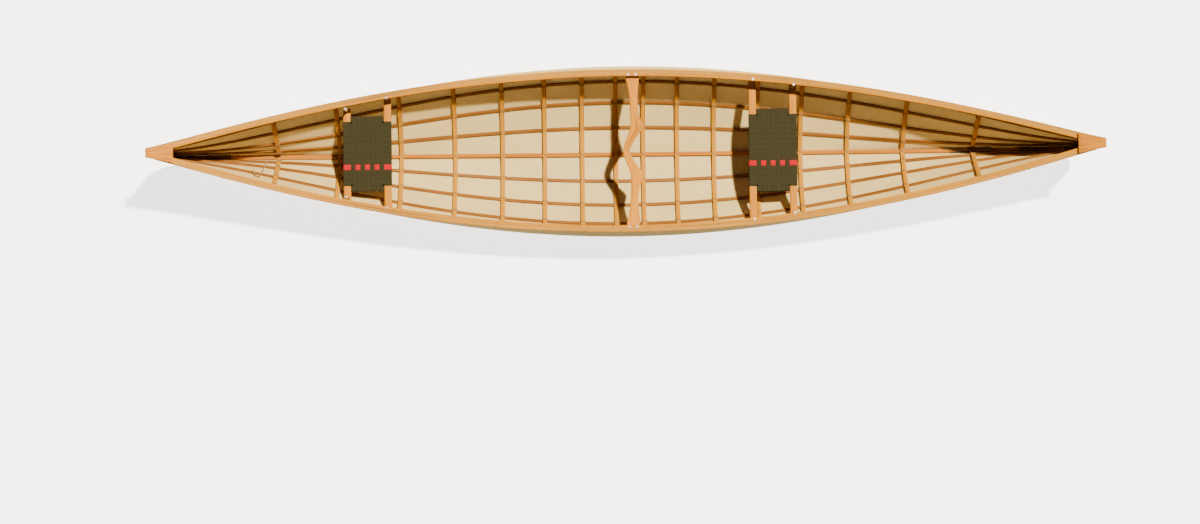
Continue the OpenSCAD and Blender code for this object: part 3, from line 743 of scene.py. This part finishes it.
@dataclass
class Skin:
    """The cloth: one sheet pulled flat between the stringers and folded round the stems."""

    lines: HullLines
    finish: bpy.types.Material
    rows: int = 84
    stand_off: float = 0.35 * MM
    edge_fillet_passes: int = 2
    # folded round the stem: millimetres ahead of its face, and share out to the side (negative toward the middle)
    fold: tuple[tuple[float, float], ...] = (
        (-12.0, 0.5), (-3.0, 0.12), (-0.6, 0.03), (0.2, -0.02), (0.7, -0.12), (0.95, -0.45), (1.0, -1.0))
    flat: tuple[float, float] = (4.9, 1.3)
    panel_shares: tuple[float, ...] = (0.0, 0.02, 0.06, 0.15, 0.32, 0.5, 0.68, 0.85, 0.94, 0.98)

    def girth(self) -> list[tuple[int, int, float]]:
        """Girth places from the keel to the gunwale: line below, line above, share between their edges."""
        places = []
        for k in range(5):
            places += [(k, k + 1, f) for f in self.panel_shares]
            places += [(k + 1, k + 1, side) for side in (-1.0, 0.0)]
        return [*places, (5, 5, 1.0)]

    def edge(self, k: int, side: float, s: Array) -> Array:
        """Edge of line k at shares s, as the cloth meets it."""
        if k == 0:
            return self.lines.line(0, s)
        low = self.lines.corner(k, s * self.lines.end_x[k], -1, 0)
        high = self.lines.corner(k, s * self.lines.end_x[k], 1, 0)
        return low + (high - low) * (side + 1) / 2

    def column(self, place: tuple[int, int, float], s: Array) -> tuple[Array, float]:
        """One line of the cloth from amidships to the stem.

        A place between two lines lies on the straight chord between their edges. Toward the stem it is drawn out to
        the curve of the forefoot by a weight that rises with the square of the last fifth of the length.

        Args:
            place: Line below, line above, and the share between them.
            s: Shares of the length, from 0 to 1.

        Returns:
            The points, and the height at which the line meets the stem.
        """
        low, high, f = place
        if low == high:
            foot, head = self.lines.edge_z(low, -1), self.lines.edge_z(low, 1)
            return self.edge(low, f, s), float(foot + (head - foot) * (f + 1) / 2)
        foot, head = self.lines.edge_z(low, 1), self.lines.edge_z(high, -1)
        z = foot + (head - foot) * f
        points = self.edge(low, 1, s) * (1 - f) + self.edge(high, -1, s) * f
        tip = (self.edge(low, 1, np.array([1.0])) * (1 - f) + self.edge(high, -1, np.array([1.0])) * f)[0]
        goal = np.array([float(self.lines.stem_x(z)) - self.lines.stem_back,
                         max(tip[1], self.lines.stem_w / 2 + self.lines.gap), z])
        weight = np.clip((s - 0.8) / 0.2, 0, 1) ** 2
        return points + weight[:, None] * (goal - tip), float(z)

    def half_grid(self) -> Array:
        """Cloth of the port bow quarter: (rows, girth, 3), with the last rows folded round the stem."""
        s = self.lines.stations(self.rows)[self.rows :]
        places = self.girth()
        half = self.lines.stem_w / 2 + self.lines.gap
        fold = np.array(self.fold)
        columns = []
        for place in places:
            points, z = self.column(place, s)
            face = float(self.lines.stem_x(z)) + self.lines.gap
            spread = points[-1, 1] - half
            y = np.where(fold[:, 1] >= 0, half + spread * fold[:, 1], half * (1 + fold[:, 1]))
            nose = np.stack([face + fold[:, 0] * MM, y, np.full(len(fold), z)], 1)
            columns.append(np.concatenate([points, nose]))
        grid = np.stack(columns, axis=1)
        for _ in range(self.edge_fillet_passes):
            grid[:, 1:-1] = 0.25 * grid[:, :-2] + 0.5 * grid[:, 1:-1] + 0.25 * grid[:, 2:]
        return grid

    def build(self) -> bpy.types.Object:
        quarter = self.half_grid()
        port = np.concatenate([quarter[:0:-1] * np.array([-1.0, 1, 1]), quarter])
        grid = np.concatenate([(port * np.array([1.0, -1, 1]))[:, ::-1], port], axis=1)
        r, m = grid.shape[:2]
        along = np.gradient(grid, axis=0)
        across = np.gradient(grid, axis=1)
        normal = unit(np.cross(across, along))
        normal[0], normal[-1] = (-1.0, 0, 0), (1.0, 0, 0)
        grid = grid + self.stand_off * normal
        i, j = (g.ravel() for g in np.meshgrid(np.arange(r - 1), np.arange(m - 1), indexing="ij"))
        a = i * m + j
        quads = np.stack([a, a + m, a + m + 1, a + 1], 1)
        u = grid[:, :, 0]
        girth = np.cumsum(np.linalg.norm(np.diff(grid, axis=1), axis=2), axis=1)
        v = np.concatenate([np.zeros((r, 1)), girth], 1)
        v = v - v[:, m // 2 : m // 2 + 1]
        uv = np.stack([u.ravel()[quads], v.ravel()[quads]], -1)
        corners = grid.reshape(-1, 3)[quads]
        faces_out = np.cross(corners[:, 1] - corners[:, 0], corners[:, 3] - corners[:, 0])
        if faces_out[np.argmin(corners[:, 0, 2])][2] > 0:
            quads, uv = quads[:, ::-1], uv[:, ::-1]
        obj = make_object("hull_cloth", grid.reshape(-1, 3), quads.tolist(), uv.reshape(-1, 2), sharp_deg=60)
        shell = bmesh.new()
        shell.from_mesh(obj.data)
        bmesh.ops.remove_doubles(shell, verts=shell.verts, dist=0.02 * MM)
        bmesh.ops.dissolve_degenerate(shell, edges=shell.edges, dist=0.01 * MM)
        area = sum(face.calc_area() for face in shell.faces)
        shell.to_mesh(obj.data)
        shell.free()
        wall = obj.modifiers.new("cloth thickness", "SOLIDIFY")
        wall.thickness, wall.offset = self.lines.skin_t, 1.0
        wall.use_quality_normals = True
        lengths = sorted(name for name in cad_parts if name.startswith("skin_"))
        fit(obj, self.finish, lengths)
        return obj


@dataclass
class Longitudinals:
    """Keel batten, stringers, inwales and outwales: long battens with eased edges, sprung along the hull."""

    lines: HullLines
    finishes: Finishes
    rows: int = 60
    ease: float = 1.6 * MM

    def stringer(self, k: int, side_name: str) -> bpy.types.Object:
        """Stringer number k, 1 under the gunwale and 4 beside the keel."""
        line = 5 - k
        x = self.lines.stations(self.rows) * self.lines.end_x[line]
        t = self.lines.stringer_t
        section = ((-1, 0), (1, 0), (1, t), (-1, t))
        corners = np.stack([self.lines.corner(line, x, side, depth) for side, depth in section], 1)
        name = f"stringer_{k}_{side_name}"
        rings = eased_ends(rounded(mirrored(corners, SIDES[side_name]), self.ease))
        return fit(loft(f"batten_{name}", rings), self.finishes.cedar, [name])

    def keel(self) -> bpy.types.Object:
        """The keel batten, flat side down on the cloth."""
        p = self.lines.line(0, self.lines.stations(self.rows))
        y, z = np.array([-1, 1, 1, -1]) * self.lines.keel_w / 2, np.array([0, 0, 1, 1]) * self.lines.keel_t
        corners = np.stack(np.broadcast_arrays(p[:, :1], y, p[:, 2:] + z), -1)
        batten = loft("batten_keel", eased_ends(rounded(corners, self.ease)))
        return fit(batten, self.finishes.keel, ["keel"])

    def wale(self, name: str, side: float, inner: Array, outer: Array, p: Array,
             height: float) -> bpy.types.Object:
        """A gunwale strip between two faces, its top on the sheer line."""
        faces = [(inner, height), (outer, height), (outer, 0.0), (inner, 0.0)]
        corners = np.stack([np.stack([p[:, 0], y, p[:, 2] - drop], -1) for y, drop in faces], 1)
        rings = eased_ends(rounded(mirrored(corners, side), 2.4 * MM, 3))
        return fit(loft(f"strip_{name}", rings), self.finishes.spruce, [name])

    def build(self) -> None:
        """Builds every batten and strip."""
        self.keel()
        p = self.lines.line(5, self.lines.stations(self.rows))
        face = p[:, 1] - self.lines.gap
        outer = p[:, 1] + 2 * self.lines.gap + self.lines.skin_t
        for side_name, side in SIDES.items():
            for k in range(1, 5):
                self.stringer(k, side_name)
            self.wale(f"inwale_{side_name}", side, self.lines.inwale_inner(face), face, p, self.lines.inwale_h)
            self.wale(f"outwale_{side_name}", side, outer, outer + self.lines.outwale_w, p, self.lines.outwale_h)


@dataclass
class Ribs:
    """Steam-bent ribs inside the stringers, and the pegs that pin their ends in the inwales."""

    lines: HullLines
    finishes: Finishes
    width: float = 21 * MM
    thick: float = 6.5 * MM
    room: float = 0.9 * MM
    bow: float = 0.45
    clear: float = 4 * MM  # between a rib's end and the inwale's outer face
    steps: int = 7
    face_share: float = 0.8

    def places(self) -> list[float]:
        """Where each rib stands along the hull, from its CAD box, aft to forward."""
        boxes = [node_box(f"rib_{k}") for k in range(1, 17)]
        return [float(low[0] + high[0]) / 2 for low, high in boxes]

    def side(self, x: float, depth: float) -> Array:
        """Points up the port side of a rib face.

        Over each stringer the rib is straight. Between two stringers it follows a cubic whose end directions are the
        directions up the girth at both, scaled so that it bows out a little.

        Args:
            x: Place along the hull.
            depth: Depth in from the rib's outer face.

        Returns:
            (n, 3) points from the keel to the inwale.
        """
        inner = self.lines.stringer_t + self.room + depth
        top = self.lines.at(5, x)
        stops = [(np.array([x, self.lines.keel_w / 2, float(self.lines.keel_top(x)) + depth]), np.array([0, 1.0, 0]))]
        stops += [(self.lines.corner(k, x, s, inner), self.lines.up(k, x)) for k in range(1, 5)
                  for s in (-self.face_share, self.face_share)]
        under = top[2] - self.lines.inwale_h - self.lines.gap
        end = np.array([x, top[1] - self.lines.gap - self.clear - depth, under])
        stops.append((end, self.lines.up(4, x)))
        points = []
        for i in range(len(stops) - 1):
            (p, dp), (q, dq) = stops[i], stops[i + 1]
            count = self.steps if i % 2 == 0 else 2
            f = np.linspace(0, 1, count, endpoint=False)[:, None]
            g = 1 - f
            long = self.bow * np.linalg.norm(q - p)
            points.append(p + (q - p) * f**2 * (3 - 2 * f) + long * f * g * (g * dp - f * dq))
        return np.concatenate([*points, stops[-1][0][None]])

    def face(self, x: float, depth: float) -> Array:
        """A whole rib face line from the starboard inwale to the port one."""
        half = self.side(x, depth)
        return np.concatenate([mirrored(half, STARBOARD)[::-1], half])

    def build(self) -> None:
        """Builds the ribs and their pegs."""
        pegs = []
        for k, x in enumerate(self.places(), start=1):
            fore, aft = x + self.width / 2, x - self.width / 2
            corners = np.stack([self.face(aft, 0), self.face(fore, 0), self.face(fore, self.thick),
                                self.face(aft, self.thick)], 1)
            name = f"rib_{k}"
            fit(loft(f"bent_{name}", rounded(corners, 1.5 * MM)), self.finishes.ash, [name])
            at = x + math.copysign(self.width * 0.9, x)
            top = self.lines.at(5, at)
            for side in SIDES.values():
                y = side * float(self.lines.inwale_inner(top[1]) + 0.45 * self.lines.inwale_w)
                profile = [(2.6 * MM, -2 * MM), (2.6 * MM, 0.1 * MM), (2.1 * MM, 0.5 * MM), (0.4 * MM, 0.6 * MM)]
                pegs.append(lathe((at, y, top[2]), profile, 12))
        fit(loft_many("rib_pegs", pegs), self.finishes.plug)


@dataclass
class Lashings:
    """Crossed turns of waxed twine where each rib meets each stringer and the keel."""

    lines: HullLines
    ribs: Ribs
    finish: bpy.types.Material
    twine_r: float = 1.1 * MM

    def crossing(self, place: Array, up: Array, batten_half: float, batten_t: float) -> list[Array]:
        """Two crossed turns over the rib and down beside the batten.

        Args:
            place: Middle of the batten's inner face.
            up: Direction up the girth.
            batten_half: Half the batten's width.
            batten_t: The batten's thickness.

        Returns:
            The rings of each turn.
        """
        over = self.ribs.room + self.ribs.thick + self.twine_r
        a, b = self.ribs.width / 2 + self.twine_r, batten_half + self.twine_r
        half = np.array([(-a, -b, -0.8 * batten_t), (-a, -b, over - 2 * MM), (-a + 1.6 * MM, -b * 0.82, over)])
        shape = np.concatenate([half, [(0, 0, over + 0.2 * MM)], half[::-1] * (-1, -1, 1)])
        inward = -HullLines.out(up) if abs(up[1]) < 1 else np.array([0, 0, 1.0])
        turns = []
        for flip in (1.0, -1.0):
            path = place + shape[:, :1] * np.array([1.0, 0, 0]) + flip * shape[:, 1:2] * up + shape[:, 2:] * inward
            turns.append(tube(path, self.twine_r, 5, up=(0.1, 0.2, 1)))
        return turns

    def build(self) -> None:
        """Builds every lashing as one piece."""
        turns = []
        for x in self.ribs.places():
            keel = np.array([x, 0, float(self.lines.keel_top(x)) - self.lines.gap])
            turns += self.crossing(keel, np.array([0, 1.0, 0]), self.lines.keel_w / 2, self.lines.keel_t)
            for k in range(1, 5):
                place, up = self.lines.corner(k, x, 0, self.lines.stringer_t), self.lines.up(k, x)
                for turn in self.crossing(place, up, self.lines.stringer_w / 2, self.lines.stringer_t):
                    turns += [turn, mirrored(turn, STARBOARD)]
        fit(loft_many("rib_lashings", turns, sharp_deg=80), self.finish)


@dataclass
class Deck:
    """An end deck: a tapered plate with eased edges on the gunwale ends."""

    end: float
    finish: bpy.types.Material
    thick: float = 14 * MM
    wide: float = 100 * MM
    tip: float = 46 * MM
    ease: float = 2.2 * MM
    guess_cos: float = 0.965  # cosine of the deck's slope, near enough to start from
    guess_long: float = 1.02  # the plate's length over its level run, near enough to start from

    def build(self) -> bpy.types.Object:
        """Builds the plate along the slope of its CAD node."""
        name = "bow_deck" if self.end > 0 else "stern_deck"
        low, high = node_box(name)
        run, _, rise = high - low
        guess = math.asin((rise - self.thick * self.guess_cos) / (run * self.guess_long))
        slope = math.atan2(rise - self.thick * math.cos(guess), run - self.thick * math.sin(guess))
        long = (run - self.thick * math.sin(slope)) / math.cos(slope)
        along = np.array([self.end * math.cos(slope), 0, math.sin(slope)])
        up = np.array([-self.end * math.sin(slope), 0, math.cos(slope)])
        start = np.array([low[0] if self.end > 0 else high[0], 0, low[2]])
        start[0] += self.end * self.thick * math.sin(slope)
        f = np.array([0, 0.012, 0.2, 0.4, 0.6, 0.8, 0.985, 1.0])
        trim = np.array([-0.9 * MM, 0, 0, 0, 0, 0, 0, -0.9 * MM])
        half = self.wide / 2 + (self.tip - self.wide) / 2 * f + trim
        middle = start + (f * long)[:, None] * along
        y = np.array([0, 1.0, 0])
        inset = -trim[:, None]
        corners = np.stack([middle - half[:, None] * y + inset * up, middle + half[:, None] * y + inset * up,
                            middle + half[:, None] * y + (self.thick - inset) * up,
                            middle - half[:, None] * y + (self.thick - inset) * up], 1)
        return fit(loft(f"plate_{name}", rounded(corners, self.ease, 3)), self.finish, [name])


@dataclass
class Yoke:
    """The carrying yoke: a bar carved with two shoulder pads, a neck notch and wide feet, its edges rounded over."""

    finish: bpy.types.Material
    place: float = 36 * MM
    # place along the beam, forward edge and aft edge, from the middle to the foot
    edges: tuple[tuple[float, float, float], ...] = (
        (0, -13, -46.5), (20, -8, -44), (48, 7, -35), (76, 26, -23), (98, 43, -15), (117, 51, -11.5), (140, 47, -9),
        (168, 36, -9), (205, 29.5, -10.5), (255, 26.5, -14), (305, 29.5, -21), (340, 33, -29))

    def build(self) -> bpy.types.Object:
        """Builds the yoke: a rounded section carried along a smooth outline, thinned a little at the neck."""
        low, high = node_box("yoke")
        half = float(high[1])
        knots = np.array([*self.edges, (half / MM, 35.0, -35.0)]) * MM
        both = np.concatenate([knots[:0:-1] * np.array([-1.0, 1, 1]), knots])
        line = smooth_line(both, 161)
        y, fore, aft = line.T
        fore, aft = fore + self.place, aft + self.place
        dip = 2.0 * MM * np.exp(-((y / (60 * MM)) ** 2))
        top, bottom = np.full_like(y, high[2]) - dip, np.full_like(y, low[2]) + 0.6 * dip
        corners = np.stack([np.stack([aft, y, bottom], -1), np.stack([fore, y, bottom], -1),
                            np.stack([fore, y, top], -1), np.stack([aft, y, top], -1)], 1)
        rings = eased_ends(rounded(corners, 5.5 * MM, 5), 1.5 * MM)
        return fit(loft("carved_yoke", rings, 50), self.finish, ["yoke"])


@dataclass
class Seat:
    """A hung seat: two bars across the hull, two rails between them, and webbing woven over all four."""

    name: str
    finishes: Finishes
    strap_w: float = 25.4 * MM
    strap_t: float = 1.3 * MM
    cross_straps: int = 7
    red_place: float = -73 * MM
    spread: float = 1.06  # straps along the hull lie this much wider under load
    wave_power: float = 1.2  # over 1, so that a strap stays flat longer between two crossings
    area_share: float = 0.96  # a ribbon's area over its length times its width

    def __post_init__(self) -> None:
        """Reads the bars and rails from the frame."""
        self.front = node_box(f"{self.name}_front_bar")
        self.rear = node_box(f"{self.name}_rear_bar")
        self.rail = node_box(f"{self.name}_rail_port")
        self.top = float(self.front[1][2])
        self.under = float(self.front[0][2])
        self.weave_half = float(self.rail[0][1]) - 3 * MM

    def timber(self) -> None:
        """Builds the bars and rails with rounded edges."""
        for part, axis in (("front_bar", 1), ("rear_bar", 1), ("rail_port", 0), ("rail_starboard", 0)):
            node = f"{self.name}_{part}"
            low, high = node_box(node)
            rings = eased_ends(rounded(box_corners(low, high, axis, 6), 3.5 * MM, 3), 1.2 * MM)
            fit(loft(f"rounded_{node}", rings), self.finishes.seat, [node])

    def wrap(self, start: float, stop: float, axis: int, place: float, lift: Array, places: Array) -> Array:
        """Middle line of one strap: up round one bar, across the top, and down round the other.

        Args:
            start: Outer face of the first bar, along the strap.
            stop: Outer face of the last bar, along the strap.
            axis: The axis that the strap runs along.
            place: Where it lies across.
            lift: How far it rises over or dips under each crossing strap.
            places: Where those crossings are along it.

        Returns:
            (n, 3) points.
        """
        off, r, tuck = self.strap_t / 2 + 0.2 * MM, 3.5 * MM, 30 * MM
        turn = np.linspace(0, math.pi / 2, 5)
        low, high = self.under - off, self.top + off
        span = [(start + tuck, low), (start + r, low)]
        span += [(start + r - (r + off) * math.sin(t), self.under + r - (r + off) * math.cos(t)) for t in turn[1:]]
        span += [(start + r - (r + off) * math.cos(t), self.top - r + (r + off) * math.sin(t)) for t in turn]
        flat = np.linspace(start + r, stop - r, 97)[1:-1]
        wave = np.interp(flat, places, lift, left=0, right=0)
        most = np.abs(lift).max()
        share = np.clip(np.abs(wave) / max(most, 1e-9), 0, 1)
        wave = np.sign(wave) * np.sin(share * math.pi / 2) ** self.wave_power * most
        span += list(zip(flat, high + wave))
        span += [(stop - r + (r + off) * math.cos(t), self.top - r + (r + off) * math.sin(t)) for t in turn[::-1]]
        span += [(stop - r + (r + off) * math.sin(t), self.under + r - (r + off) * math.cos(t)) for t in turn[:0:-1]]
        span += [(stop - r, low), (stop - tuck, low)]
        line = np.array(span)
        points = np.zeros((len(line), 3))
        points[:, axis], points[:, 1 - axis], points[:, 2] = line[:, 0], place, line[:, 1]
        return points

    def ribbon(self, path: Array, axis: int, width: float) -> Array:
        """Rings of a flat strap along a path, with rounded selvedges."""
        side = np.zeros(3)
        side[1 - axis] = 1.0
        t = unit(np.gradient(path, axis=0))
        n = np.cross(t, side)
        half = np.array([(-0.5, -0.3), (-0.47, -0.5), (0.47, -0.5), (0.5, -0.3)])
        shape = np.concatenate([half, -half])
        return path[:, None] + shape[:, :1] * width * side + shape[:, 1:] * self.strap_t * n[:, None]

    def weave(self) -> bpy.types.Object:
        """Builds the woven panel: straps along the hull over the bars, crossed by straps over the rails."""
        inner = (float(self.rear[1][0]), float(self.front[0][0]))
        outer = (float(self.rear[0][0]), float(self.front[1][0]))
        count = round(2 * self.weave_half / (self.strap_w + 0.6 * MM))
        pitch = 2 * self.weave_half / count
        long_y = -self.weave_half + pitch * (np.arange(count) + 0.5)
        cross_pitch = (inner[1] - inner[0]) / self.cross_straps
        cross_x = inner[0] + cross_pitch * (np.arange(self.cross_straps) + 0.5)
        cross_w = min(cross_pitch - 0.4 * MM, self.strap_w)
        long_w = min(self.spread * self.strap_w, pitch - 0.2 * MM)
        rise = self.strap_t / 2 + 0.35 * MM
        red = int(np.argmin(np.abs(long_y - self.red_place)))
        green, scarlet = [], []
        for j, y in enumerate(long_y):
            sign = np.where((np.arange(self.cross_straps) + j - red) % 2 == 0, -1.0, 1.0)
            path = self.wrap(outer[0], outer[1], 0, y, sign * rise, cross_x)
            (scarlet if j == red else green).append(self.ribbon(path, 0, long_w))
        rail_y = float(self.rail[1][1])
        for i, x in enumerate(cross_x):
            sign = np.where((i + np.arange(count) - red) % 2 == 0, 1.0, -1.0)
            path = self.wrap(-rail_y, rail_y, 1, x, sign * rise, long_y)
            green.append(self.ribbon(path, 1, cross_w))
        panel = loft_many(f"{self.name}_weave", green + scarlet, sharp_deg=60)
        reds = sum(len(loft_parts(r)[1]) for r in scarlet)
        slots = np.zeros(len(panel.data.polygons), np.int32)
        slots[len(slots) - reds :] = 1
        fit(panel, [self.finishes.green_web, self.finishes.red_web], [f"{self.name}_webbing"])
        panel.data.polygons.foreach_set("material_index", slots)
        return panel

    def build(self) -> None:
        """Builds the seat."""
        self.timber()
        self.weave()


@dataclass
class FreeCord:
    """A short cord tied to an end rib, laid on the frame."""

    node: str
    diameter: float
    route: Array
    finish: bpy.types.Material
    stiffness: str = "limp"
    lay: str = "loose"

    def build(self) -> bpy.types.Object:
        step = np.concatenate([[0], np.cumsum(np.linalg.norm(np.diff(self.route, axis=0), axis=1))])
        knots = np.concatenate([step[:, None], self.route], axis=1)
        path = smooth_line(knots, max(40, int(step[-1] / (0.45 * self.diameter))))[:, 1:]
        obj = loft(f"lay_{self.node}", tube(path, self.diameter / 2, 12), sharp_deg=70)
        fit(obj, self.finish, [self.node])
        return obj


def cord_routes() -> dict[str, Array]:
    """The points that each cord follows, in metres."""
    turn = [(1830 + 9 * math.cos(math.radians(a)), 9 * math.sin(math.radians(a)), 68.8) for a in range(90, -91, -30)]
    out = [(1620, 55.8), (1650, 57.3), (1680, 59.3), (1702, 61.3), (1716, 65.8), (1726, 69.3), (1748, 69.8),
           (1760, 68.3), (1776, 65.3), (1805, 66.8)]
    bow = [(1590, 9, 53.8), *((x, 9, z) for x, z in out), *turn, *((x, -9, z) for x, z in out[:1:-1]),
           (1650, -9, 57.3), (1630, -9, 56.3)]
    stern = [(-1778, 0, 66), (-1779, -5, 76), (-1781, -12, 93), (-1783, -18, 108), (-1787, -31, 139),
             (-1790, -45, 170), (-1794, -66, 214), (-1798, -87, 258), (-1801, -96, 275), (-1804, -103, 287), (-1810, -107, 293),
             (-1818, -106, 293), (-1826, -99, 287), (-1832, -90, 279), (-1837, -82, 275), (-1841, -77, 267)]
    return {"bow_cord": np.array(bow) * MM, "stern_cord": np.array(stern) * MM}


@dataclass
class Studio:
    """Floor, light and camera."""

    camera_place: tuple[float, float, float] = (-0.134, -0.85, 14.4)
    aim: tuple[float, float, float] = (-0.134, -0.54, 0.0)
    view_width_at_floor: float = 6.03
    sensor: float = 36.0
    roll_deg: float = -0.62
    key_travel: tuple[float, float, float] = (-95.0, -108.0, -280.0)
    key_strength: float = 10.8
    key_angle_deg: float = 2.5
    fill_strength: float = 0.12
    key_colour: str = "FFF6E6"
    fill_colour: str = "FAFBFF"
    floor_half: float = 30.0
    floor_drop: float = 0.2 * MM
    finish: PaintedFloor = field(default_factory=PaintedFloor)

    def camera(self) -> None:
        """Sets the camera high above and a little to starboard, with the canoe in the upper half of the frame."""
        data = bpy.data.cameras.new("camera")
        data.sensor_width = self.sensor
        data.lens = self.sensor * self.camera_place[2] / self.view_width_at_floor
        data.clip_end = 200
        camera = bpy.data.objects.new("camera", data)
        camera.location = self.camera_place
        tilt = math.atan2(self.aim[1] - self.camera_place[1], self.camera_place[2] - self.aim[2])
        camera.rotation_euler = (tilt, 0, math.radians(self.roll_deg))
        bpy.context.scene.collection.objects.link(camera)
        bpy.context.scene.camera = camera

    def floor(self) -> None:
        """Lays the floor just under the keel."""
        square = np.array([(-1, -1, 0), (1, -1, 0), (1, 1, 0), (-1, 1, 0)])
        points = square * self.floor_half - (0, 0, self.floor_drop)
        floor = make_object("studio_floor", points, [(0, 1, 2, 3)])
        floor.data.materials.append(self.finish.build())

    def light(self) -> None:
        """Adds a high key light from the bow's port side and an even fill from all round."""
        sun = bpy.data.lights.new("key", "SUN")
        sun.energy, sun.angle = self.key_strength, math.radians(self.key_angle_deg)
        sun.color = linear(self.key_colour)[:3]
        key = bpy.data.objects.new("key", sun)
        travel = unit(np.array(self.key_travel))
        tilt = math.acos(-travel[2])
        turn = math.atan2(-travel[1], -travel[0])
        key.rotation_euler = (0, tilt, turn)
        bpy.context.scene.collection.objects.link(key)
        world = bpy.data.worlds.new("studio")
        world.use_nodes = True
        background = world.node_tree.nodes["Background"]
        background.inputs["Color"].default_value = linear(self.fill_colour)
        background.inputs["Strength"].default_value = self.fill_strength
        bpy.context.scene.world = world

    def build(self) -> None:
        """Builds the studio."""
        self.camera()
        self.floor()
        self.light()


def main() -> None:
    """Builds the canoe piece by piece."""
    logging.basicConfig(level=logging.INFO, format="%(name)s: %(message)s")
    Studio().build()
    finishes = Finishes()
    routes = cord_routes()
    FreeCord("bow_cord", 4.5 * MM, routes["bow_cord"], finishes.dark_cord).build()
    FreeCord("stern_cord", 7 * MM, routes["stern_cord"], finishes.manila, lay="taut").build()
    lines = HullLines()
    Skin(lines, finishes.skin).build()
    Longitudinals(lines, finishes).build()
    ribs = Ribs(lines, finishes)
    ribs.build()
    Lashings(lines, ribs, finishes.twine).build()
    for end in (BOW, STERN):
        Deck(end, finishes.cherry).build()
    Yoke(finishes.yoke).build()
    for seat in ("bow_seat", "stern_seat"):
        Seat(seat, finishes).build()
    kept = {"bow_stem": finishes.stem, "stern_stem": finishes.stem, "deck_screws": finishes.brass,
            "outwale_screws": finishes.brass, "yoke_bolts": finishes.steel, "seat_spacers": finishes.dowel,
            "seat_bolts": finishes.steel}
    for node, finish in kept.items():
        dress_node(node, finish)


if __name__ == "__main__":
    main()
